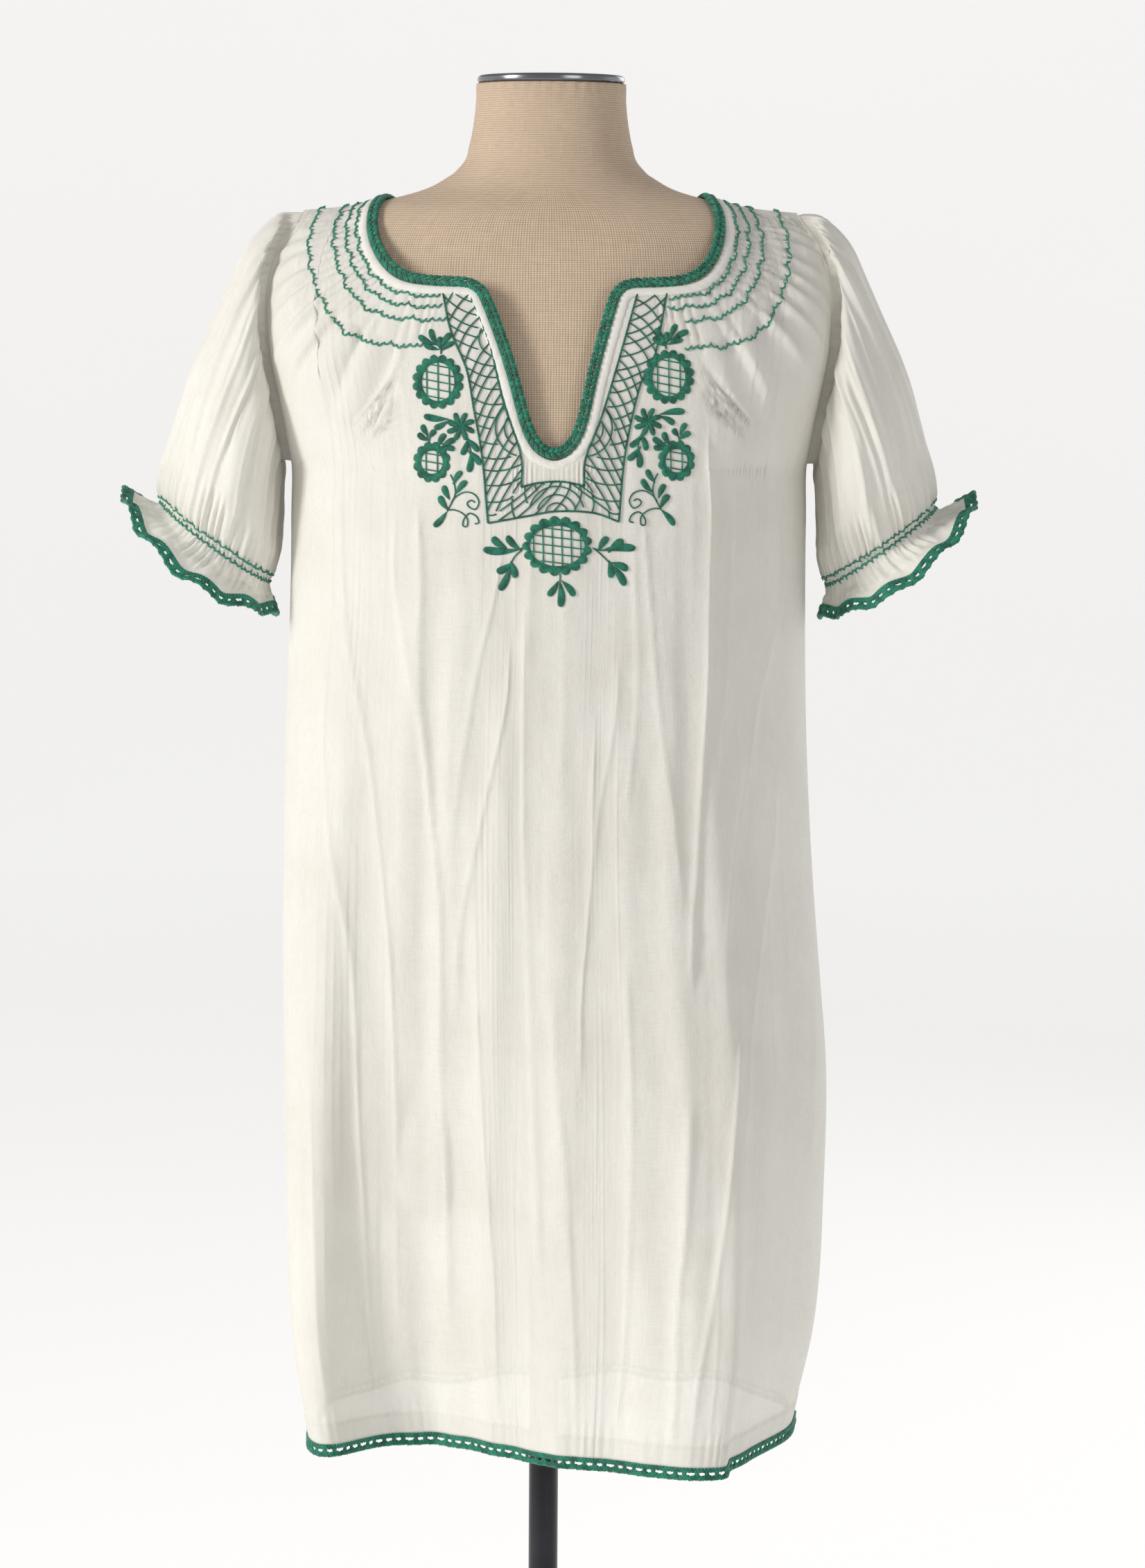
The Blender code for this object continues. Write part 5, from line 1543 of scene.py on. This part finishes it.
ROW_WAVE = 0.0046
WAVE_POINTS = 12        # points of a row in each wave, of which every second is used
ROW_BOW = 0.0017
ROW_LIFT = 0.0007
ROW_WANDER = 0.0009     # how far a row strays from an even line
CHEST_MIDDLE = 1.30     # height of the point that the rows face away from
# where each row starts beside the band of crossed threads: x on the left, x on the right
ROW_STARTS = ((-0.0735, 0.0790), (-0.0725, 0.0790), (-0.0690, 0.0900), (-0.0830, 0.0900))


def feather_row(threads, points, normals, sign, closed=False, wave=ROW_WAVE, tick=0.0016):
    """A wavy stitched line over the tops of the gathers, with a little spur at each wave."""
    length = np.linalg.norm(np.diff(points, axis=0), axis=1).sum()
    path, (normals,), _ = evened(points, [normals], WAVE_POINTS * max(4, round(length / wave)), closed)
    count = len(path)
    t = np.arange(count) / WAVE_POINTS
    ahead = unit(np.gradient(path, axis=0))
    normals = unit(normals - ahead * (normals * ahead).sum(1, keepdims=True))
    aside = np.cross(ahead, normals) * sign
    bow = ROW_BOW * (np.abs(np.sin(math.pi * t + 0.3 * np.sin(t * 1.7))) - 0.5)
    if not closed:
        path = path + aside * (ROW_WANDER * (np.sin(t * 1.31 + wave * 900) + 0.7 * np.sin(t * 2.17)))[:, None]
    path = path + aside * bow[:, None] + normals * (ROW_LIFT + 0.0002 * np.cos(2 * math.pi * t))[:, None]
    keep = np.arange(0, count, 2)
    threads.add(path[keep], ROW_THREAD, sides=4, closed=closed, flatten=(normals[keep], 0.85))
    for k in range(count // WAVE_POINTS):
        i = min(int((k + 0.08) * WAVE_POINTS), count - 3)
        spur = aside[i] * tick * (0.8 + 0.4 * math.sin(2.7 * k)) + ahead[i] * 0.0009 + normals[i] * 0.0004
        spur = np.array([path[i], path[i] - spur / 2 + normals[i] * 0.0001, path[i] - spur])
        threads.add(spur, SPUR_THREAD, sides=4, flatten=(normals[[i, i, i]], 0.9))


def smocking(front, back, look):
    """Four rows round each half of the yoke, from the crossed threads over the shoulder to the back."""
    threads = Threads()
    for distance, starts in zip(STITCH_ROWS, ROW_STARTS):
        halves = []
        for side, start in zip((-1, 1), starts):
            spots = neck_spots(side, distance)
            before, behind = spots[SLIT_STEPS:TO_SHOULDER + 1], spots[TO_SHOULDER + 1:]
            places = np.concatenate([sheet(*before.T, False), sheet(*behind.T, True)])
            fine = smooth_path(places, np.linspace(0, 1, 260))
            fine = fine[np.argmax(side * fine[:, 0] > abs(start)):]
            out = unit(fine - np.array([0, 0, CHEST_MIDDLE]))
            is_back = fine[:, 1] > 0
            points, normals = front.nearest(fine, out)
            other, turned = back.nearest(fine, out)
            points[is_back], normals[is_back] = other[is_back], turned[is_back]
            halves.append((points, normals))
        points, normals = (np.concatenate([left, right[::-1][1:]]) for left, right in zip(*halves))
        feather_row(threads, points, normals, -1)
    made = threads.piece("smocking_rows", look)


def cuff_rows(word, points, n, look):
    threads = Threads()
    for k, share in enumerate(SMOCK_SHARES):
        row = int(np.argmin(np.abs(SLEEVE_SHARES - share)))
        feather_row(threads, points[row], n[row], 1, closed=True, wave=0.0062 - 0.0004 * k, tick=0.0018)
    made = threads.piece("cuff_rows_" + word, look)


# the form and the stand

FORM_STEPS = 128
FORM_SHOULDER = 1.44    # above this height the form has finer rows
FORM_SEAM = 1.4925      # the seam at the foot of the neck, higher behind than in front
FORM_SEAM_TILT = 0.006
SEAM_DENT = 0.0007
SEAM_DENT_WIDE = 0.0011
SIDE_DENT = 0.0004
CAP_PUCKER = 0.0006
CAP_PUCKER_DEEP = 0.010
FORM_GIRTH = 0.13       # its mean radius, which lays the weave out evenly round it


def form_surface(linen):
    """The padded form, smooth, with a small dent along the seam at the foot of its neck."""
    turn = np.linspace(0, 2 * math.pi, FORM_STEPS, endpoint=False)
    c, s = np.cos(turn), np.sin(turn)
    body, neck = np.linspace(TORSO_LOW, FORM_SHOULDER, 90), np.linspace(FORM_SHOULDER, NECK_TOP, 72)
    z = np.concatenate([body, neck[1:]])
    half = smooth(TORSO_RINGS, z)[:, None]
    front, back = (smooth(TORSO_RINGS, z, k)[:, None] for k in (2, 3))
    depth = np.where(s < 0, front, back)
    seam = FORM_SEAM + FORM_SEAM_TILT * s
    dent = SEAM_DENT * np.exp(-(((z[:, None] - seam) / SEAM_DENT_WIDE) ** 2))
    side = SIDE_DENT * (np.exp(-((c - 1) / 0.002) ** 2) + np.exp(-((c + 1) / 0.002) ** 2))
    # little puckers where the linen is drawn in under the cap
    drawn = ease((z[:, None] - NECK_TOP + CAP_PUCKER_DEEP + 0.002) / CAP_PUCKER_DEEP)
    pucker = CAP_PUCKER * np.sin(38 * turn + np.sin(7 * turn)) * drawn
    shrink = 1 - (dent + side - pucker) / half
    points = np.stack([half * c * shrink, depth * s * shrink, z[:, None] + 0 * c[None]], -1)
    lid = [points[-1] * (r, r, 1) for r in (0.97, 0.90, 0.5, 0.02)]
    floor = [points[0] * (r, r, 1) for r in (0.02, 0.5, 0.93)]
    points = np.concatenate([floor, points, lid])
    faces = grid_quads(*points.shape[:2], closed=True)
    flat = np.stack(np.broadcast_arrays((turn * FORM_GIRTH)[None], points[..., 2]), -1)
    made = link("form_linen", points, faces, linen, flat)
    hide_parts("form_torso")
    return made


def lathe(name, profile, look, node, depth=1.0, steps=128):
    """A turned piece from its profile: radius and height, from the bottom up."""
    turn = np.linspace(0, 2 * math.pi, steps, endpoint=False)
    rings = np.array([[(r * math.cos(a), depth * r * math.sin(a), z) for a in turn] for r, z in profile])
    made = link(name, rings, grid_quads(*rings.shape[:2], closed=True), look)
    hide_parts(node)
    return made


def rounded(corners, radius=0.0008, steps=5):
    """A profile with each of its inner corners turned into a small arc."""
    corners = np.asarray(corners, float)
    path = [corners[0]]
    for a, b, c in zip(corners, corners[1:], corners[2:]):
        r = min(radius, 0.45 * np.linalg.norm(b - a), 0.45 * np.linalg.norm(c - b))
        p, q = b + (a - b) / np.linalg.norm(a - b) * r, b + (c - b) / np.linalg.norm(c - b) * r
        for t in np.linspace(0, 1, steps):
            path.append((1 - t) ** 2 * p + 2 * t * (1 - t) * b + t * t * q)
    path.append(corners[-1])
    return path


def make_stand(chrome, black):
    """Cap, flange, pole, socket and base. All but the base start at AXIS, a hair beside the middle line."""
    top = NECK_TOP + SEAM
    low = TORSO_LOW - SEAM
    flange_low = low - FLANGE_HEIGHT
    foot = POLE_FOOT + SEAM
    socket_low = BASE_HEIGHT + SEAM
    lathe("cap_disc", rounded((
        (AXIS, top), (0.0495, top), (CAP_RADIUS, top + 0.0012), (CAP_RADIUS, top + 0.0040),
        (0.0492, top + 0.0053), (0.0440, top + 0.0056), (0.0435, top + 0.0050), (0.0300, top + 0.0050),
        (AXIS, top + 0.0054),
    ), 0.0006), chrome, "neck_cap", depth=CAP_DEPTH)
    lathe("flange_plate", rounded((
        (AXIS, flange_low), (0.0300, flange_low), (FLANGE_RADIUS, flange_low + 0.0015), (FLANGE_RADIUS, low),
        (AXIS, low),
    )), black, "pole_flange")
    lathe("pole_tube", rounded((
        (AXIS, foot), (POLE_RADIUS, foot), (POLE_RADIUS, flange_low - SEAM), (AXIS, flange_low - SEAM),
    ), 0.0003), black, "pole")
    lathe("socket_ring", rounded((
        (AXIS, socket_low), (SOCKET_RADIUS, socket_low), (SOCKET_RADIUS, BASE_HEIGHT + 0.0060),
        (0.0185, BASE_HEIGHT + 0.0085), (0.0162, BASE_HEIGHT + 0.0140), (0.0160, POLE_FOOT),
        (AXIS, POLE_FOOT),
    ), 0.0012), black, "base_socket")
    lathe("base_plate", rounded((
        (AXIS, 0.0), (BASE_RADIUS - 0.0015, 0.0), (BASE_RADIUS, 0.0015), (BASE_RADIUS, BASE_HEIGHT - 0.0030),
        (BASE_RADIUS - 0.0040, BASE_HEIGHT), (AXIS, BASE_HEIGHT),
    ), 0.0018), black, "base_disc")


AXIS = 0.0002
CAP_RADIUS = 0.0507
CAP_DEPTH = 0.86        # the cap is an oval: its depth beside its width
FLANGE_RADIUS = 0.0320
FLANGE_HEIGHT = 0.0060
SOCKET_RADIUS = 0.0300


# floor and light

FLOOR_FLAT = 9.0        # radius of the flat floor
FLOOR_RISE = 5.0        # radius of the bend from floor to wall


def make_stage(look):
    """A pale floor that turns up into a wall all round, far from the dress."""
    turn = np.linspace(0, 2 * math.pi, 96, endpoint=False)
    bend = np.linspace(0, math.pi / 2, 24)
    bowl = [(0.01, 0.0), (1.0, 0.0), (FLOOR_FLAT, 0.0)]
    bowl += [(FLOOR_FLAT + FLOOR_RISE * math.sin(b), FLOOR_RISE * (1 - math.cos(b))) for b in bend[1:]]
    rings = np.array([[(r * math.cos(a), r * math.sin(a), z) for a in turn] for r, z in bowl])
    mesh = bpy.data.meshes.new("floor")
    mesh.from_pydata(rings.reshape(-1, 3).tolist(), [], grid_quads(*rings.shape[:2], closed=True).tolist())
    mesh.polygons.foreach_set("use_smooth", [True] * len(mesh.polygons))
    mesh.materials.append(look)
    floor = bpy.data.objects.new("floor", mesh)
    bpy.context.scene.collection.objects.link(floor)


def add_light(name, place, aim, size, watts, colour):
    data = bpy.data.lights.new(name, "AREA")
    data.shape = "RECTANGLE"
    data.size, data.size_y = size
    data.energy = watts
    data.color = colour
    light = bpy.data.objects.new(name, data)
    bpy.context.scene.collection.objects.link(light)
    light.location = place
    light.rotation_euler = (Vector(aim) - Vector(place)).to_track_quat("-Z", "Y").to_euler()


def make_lights():
    world = bpy.data.worlds.new("studio")
    world.use_nodes = True
    world.node_tree.nodes["Background"].inputs["Color"].default_value = WORLD_TINT
    world.node_tree.nodes["Background"].inputs["Strength"].default_value = WORLD_LIGHT
    bpy.context.scene.world = world
    for name, place, aim, size, watts, colour in LIGHTS:
        add_light(name, place, aim, size, watts, colour)


WORLD_TINT = (1.0, 0.995, 0.985, 1)
WORLD_LIGHT = 0.39
# name, place, what it is aimed at, width and height, watts, colour
LIGHTS = (
    ("key", (-3.4, -2.1, 2.4), (0, 0, 1.1), (0.9, 1.6), 108, (1.0, 0.985, 0.96)),
    ("fill", (3.2, -5.6, 2.0), (0, 0, 0.7), (2.4, 2.4), 46, (0.99, 0.99, 1.0)),
    ("back", (2.6, 3.4, 2.6), (0, 0, 1.1), (2.0, 2.2), 28, (1.0, 0.995, 0.98)),
)


# materials

WEAVE_MAP = "weave"
COTTON_PITCH = 0.00062
LINEN_PITCH = 0.00150
WHITE = (1.0, 1.0, 1.0)
WALL_GLOW = (-3.0, 1.0, 0.08, 0.47)     # the backdrop's painted glow: from and to this far behind the dress, and its strength at both


class Look:
    """A material being made: one Principled shader and the nodes that feed it.
    Values that don't vary are set on its own sockets."""

    def __init__(self, name, colour, roughness, **sockets):
        self.material = bpy.data.materials.new(name)
        self.material.use_nodes = True
        self.tree = self.material.node_tree
        self.shader = self.tree.nodes["Principled BSDF"]
        self.shader.inputs["Base Color"].default_value = (*colour, 1)
        self.shader.inputs["Roughness"].default_value = roughness
        for socket, value in sockets.items():
            self.shader.inputs[socket.replace("_", " ")].default_value = value

    def node(self, kind, **inputs):
        made = self.tree.nodes.new(kind)
        for name, value in inputs.items():
            socket = made.inputs[name.replace("_", " ")]
            if isinstance(value, bpy.types.NodeSocket):
                self.tree.links.new(value, socket)
            else:
                socket.default_value = value
        return made

    def place(self, scale, woven=False):
        """Coordinates in metres times scale: along the cloth if woven, otherwise the object's own."""
        if woven:
            source = self.node("ShaderNodeUVMap")
            source.uv_map = WEAVE_MAP
            source = source.outputs["UV"]
        else:
            source = self.node("ShaderNodeTexCoord").outputs["Object"]
        return self.node("ShaderNodeMapping", Vector=source, Scale=scale).outputs["Vector"]

    def noise(self, scale, woven=False, detail=2.0, roughness=0.5):
        place = self.place(scale, woven)
        made = self.node("ShaderNodeTexNoise", Vector=place, Scale=1.0, Detail=detail, Roughness=roughness)
        return made.outputs["Fac"]

    def ridges(self, scale):
        """Thin raised lines along the cloth, as hand washing leaves them."""
        place = self.place(scale, True)
        made = self.node("ShaderNodeTexNoise", Vector=place, Scale=1.0, Detail=2.0, Roughness=0.45)
        made.noise_type = "RIDGED_MULTIFRACTAL"
        return made.outputs["Fac"]

    def waves(self, axis, pitch, bend, woven=True):
        """Parallel ridges `pitch` metres apart across one axis of the cloth."""
        place = self.place((1, 1, 1), woven)
        made = self.node("ShaderNodeTexWave", Vector=place, Scale=0.314 / pitch, Distortion=bend, Detail=1.0)
        made.bands_direction = axis
        return made.outputs["Fac"]

    def maths(self, operation, first, second):
        made = self.tree.nodes.new("ShaderNodeMath")
        made.operation = operation
        for socket, value in zip(made.inputs, (first, second)):
            if isinstance(value, bpy.types.NodeSocket):
                self.tree.links.new(value, socket)
            else:
                socket.default_value = value
        return made.outputs[0]

    def shades(self, factor, *stops):
        """A colour for each value of factor: stops are (place, colour)."""
        ramp = self.node("ShaderNodeValToRGB", Fac=factor)
        elements = ramp.color_ramp.elements
        while len(elements) < len(stops):
            elements.new(0.5)
        for element, (place, colour) in zip(elements, stops):
            element.position = place
            element.color = (*colour, 1)
        return ramp.outputs["Color"]

    def paint(self, colour):
        self.tree.links.new(colour, self.shader.inputs["Base Color"])

    def tinted(self, colour, other):
        mix = self.tree.nodes.new("ShaderNodeMix")
        mix.data_type = "RGBA"
        mix.blend_type = "MULTIPLY"
        mix.inputs["Factor"].default_value = 1.0
        self.tree.links.new(colour, mix.inputs["A"])
        self.tree.links.new(other, mix.inputs["B"])
        return mix.outputs["Result"]

    def bump(self, *layers):
        """layers are (height, strength, distance), from the broad to the fine."""
        last = None
        for height, strength, distance in layers:
            made = self.node("ShaderNodeBump", Height=height, Strength=strength, Distance=distance)
            if last is not None:
                self.tree.links.new(last, made.inputs["Normal"])
            last = made.outputs["Normal"]
        self.tree.links.new(last, self.shader.inputs["Normal"])

    def rough(self, factor, low, high):
        made = self.node("ShaderNodeMapRange", Value=factor)
        made.inputs["To Min"].default_value = low
        made.inputs["To Max"].default_value = high
        self.tree.links.new(made.outputs["Result"], self.shader.inputs["Roughness"])


def woven_cotton(name, light, shade, alpha):
    """Thin plain-woven cotton with slubs both ways and a soft crumple."""
    look = Look(name, light, 0.85, Alpha=alpha, Sheen_Weight=0.15, Sheen_Roughness=0.5)
    down = look.noise((1500, 70, 1), woven=True, detail=3.0)
    over = look.noise((70, 1500, 1), woven=True, detail=3.0)
    slubs = look.maths("MULTIPLY", down, over)
    blotch = look.noise((18, 18, 18), detail=3.0)
    pale = look.shades(slubs, (0.08, shade), (0.30, light))
    tone = look.shades(blotch, (0.30, (0.955, 0.95, 0.935)), (0.62, WHITE))
    look.paint(look.tinted(pale, tone))
    weave = look.maths("ADD", look.waves("X", COTTON_PITCH, 0.6), look.waves("Y", COTTON_PITCH, 0.6))
    crumple = look.noise((85, 85, 60), detail=5.0, roughness=0.6)
    lines = look.ridges((75, 5, 1))
    look.bump((lines, 0.60, 0.0016), (crumple, 0.50, 0.0016), (slubs, 0.40, 0.0005), (weave, 0.25, 0.0001))
    look.rough(blotch, 0.78, 0.92)
    return look.material


def green_thread(name, dark, light):
    """Twisted cotton thread with painted shade in the hollows of its twist, and random patches between a
    shaded and a lit green along its length: partly its own uneven tone, partly painted light and shade.
    """
    look = Look(name, light, 0.62, Sheen_Weight=0.35, Sheen_Roughness=0.35)
    patch = look.noise((190, 190, 190), detail=3.0)
    ply = look.noise((1500, 1500, 1500), detail=3.0)
    # painted light and shade: the thread's lit and shaded greens, mixed in random patches
    tone = look.shades(patch, (0.36, dark), (0.60, light))
    # painted shade in the hollows between the plies of the thread
    ply_hollow_shade = look.shades(ply, (0.30, (0.62, 0.66, 0.64)), (0.62, WHITE))
    look.paint(look.tinted(tone, ply_hollow_shade))
    look.bump((ply, 0.7, 0.0004), (look.noise((4200, 4200, 4200)), 0.4, 0.0002))
    look.rough(patch, 0.52, 0.72)
    return look.material


def linen_cover():
    """Unbleached linen in a coarse plain weave, its threads uneven in tone."""
    look = Look("tan_linen", (0.50, 0.37, 0.26), 0.9, Sheen_Weight=0.1)
    over = look.waves("Y", LINEN_PITCH, 0.7)
    down = look.waves("X", LINEN_PITCH, 0.7)
    weave = look.maths("MULTIPLY", over, down)
    slub = look.noise((900, 60, 1), woven=True, detail=3.0)
    cross = look.noise((60, 900, 1), woven=True, detail=3.0)
    patch = look.noise((9, 9, 9), detail=3.0)
    dark, middle, light = (0.55, 0.405, 0.285), (0.84, 0.675, 0.52), (0.95, 0.82, 0.68)
    tone = look.shades(weave, (0.02, dark), (0.45, middle), (0.95, light))
    streak = look.shades(look.maths("MULTIPLY", slub, cross), (0.10, (0.86, 0.84, 0.82)), (0.36, WHITE))
    cloud = look.shades(patch, (0.30, (0.90, 0.89, 0.88)), (0.66, WHITE))
    look.paint(look.tinted(look.tinted(tone, streak), cloud))
    look.bump((slub, 0.3, 0.0006), (weave, 0.55, 0.0004))
    return look.material


def dark_chrome():
    look = Look("dark_chrome", (0.22, 0.23, 0.25), 0.2, Metallic=1.0)
    smear = look.noise((40, 40, 40), detail=4.0)
    look.rough(smear, 0.12, 0.30)
    look.bump((look.noise((30, 30, 900), detail=2.0), 0.05, 0.0002),)
    return look.material


def black_enamel():
    look = Look("black_enamel", (0.010, 0.011, 0.016), 0.3, Coat_Weight=0.15, Coat_Roughness=0.2,
                Specular_IOR_Level=0.3)
    peel = look.noise((420, 420, 420), detail=2.0)
    wear = look.noise((14, 14, 30), detail=4.0)
    look.paint(look.shades(wear, (0.35, (0.008, 0.009, 0.013)), (0.70, (0.020, 0.021, 0.028))))
    look.rough(wear, 0.22, 0.42)
    look.bump((peel, 0.12, 0.0002),)
    return look.material


def pale_floor_painted_glow():
    """The backdrop glows with painted light from behind the dress on, as a studio wall lit from behind looks,
    and is darker towards the camera.
    """
    look = Look("pale_floor_painted_glow", (0.90, 0.895, 0.885), 0.9)
    patch = look.noise((0.7, 0.7, 0.7), detail=2.0)
    look.paint(look.shades(patch, (0.3, (0.765, 0.760, 0.753)), (0.7, (0.780, 0.775, 0.770))))
    # painted light: the backdrop glows the more, the farther behind the dress it lies
    place = look.node("ShaderNodeSeparateXYZ", Vector=look.place((1, 1, 1))).outputs["Y"]
    glow = look.node("ShaderNodeMapRange", Value=place)
    glow.interpolation_type = "SMOOTHSTEP"
    for socket, value in zip(("From Min", "From Max", "To Min", "To Max"), WALL_GLOW):
        glow.inputs[socket].default_value = value
    look.shader.inputs["Emission Color"].default_value = (1.0, 0.997, 0.99, 1)
    look.tree.links.new(glow.outputs["Result"], look.shader.inputs["Emission Strength"])
    return look.material


def make_looks():
    return {
        "voile": woven_cotton("ivory_voile", (0.87, 0.85, 0.795), (0.80, 0.775, 0.70), 0.93),
        "binding": woven_cotton("ivory_binding", (0.89, 0.87, 0.82), (0.83, 0.81, 0.75), 1.0),
        # each green thread gets a shaded and a lit tone, which its look mixes as painted light and shade
        "green": green_thread("green_cotton", (0.008, 0.140, 0.088), (0.020, 0.290, 0.180)),
        "deep": green_thread("green_deep", (0.005, 0.090, 0.060), (0.014, 0.200, 0.125)),
        "floss": green_thread("green_floss", (0.020, 0.230, 0.150), (0.045, 0.370, 0.240)),
        "linen": linen_cover(),
        "chrome": dark_chrome(),
        "black": black_enamel(),
        "floor": pale_floor_painted_glow(),
    }


# what each piece was cut to, flat: width and length, and the area of its cut
SLEEVE_CUT = (0.42, 0.27)


def main():
    make_camera()
    bpy.context.scene.view_settings.view_transform = "Standard"
    looks = make_looks()
    panels = {}
    for word in ("front", "back"):
        panels[word] = make_panel(word + "_panel_cloth", word == "back", looks["voile"])
    edges = [panels[word][1][:, -1] for word in panels]
    sleeves = {}
    for side, word in ((1, "right"), (-1, "left")):
        sleeves[word] = make_sleeve(side, edges, looks["voile"])
        cuff_edging(word, *sleeves[word][1:], looks["green"])
        cuff_rows(word, *sleeves[word][1:], looks["floss"])
    cloth = {word: Cloth(panels[word][0]) for word in panels}
    embroider(cloth["front"], looks["green"], looks["deep"])
    smocking(cloth["front"], cloth["back"], looks["floss"])
    neck_edging(looks["green"])
    hem_edging(*[(panels[word][1][-1], panels[word][2][-1]) for word in panels], looks["green"])
    neck_binding(looks["binding"])
    form_surface(looks["linen"])
    make_stand(looks["chrome"], looks["black"])
    make_stage(looks["floor"])
    make_lights()


main()
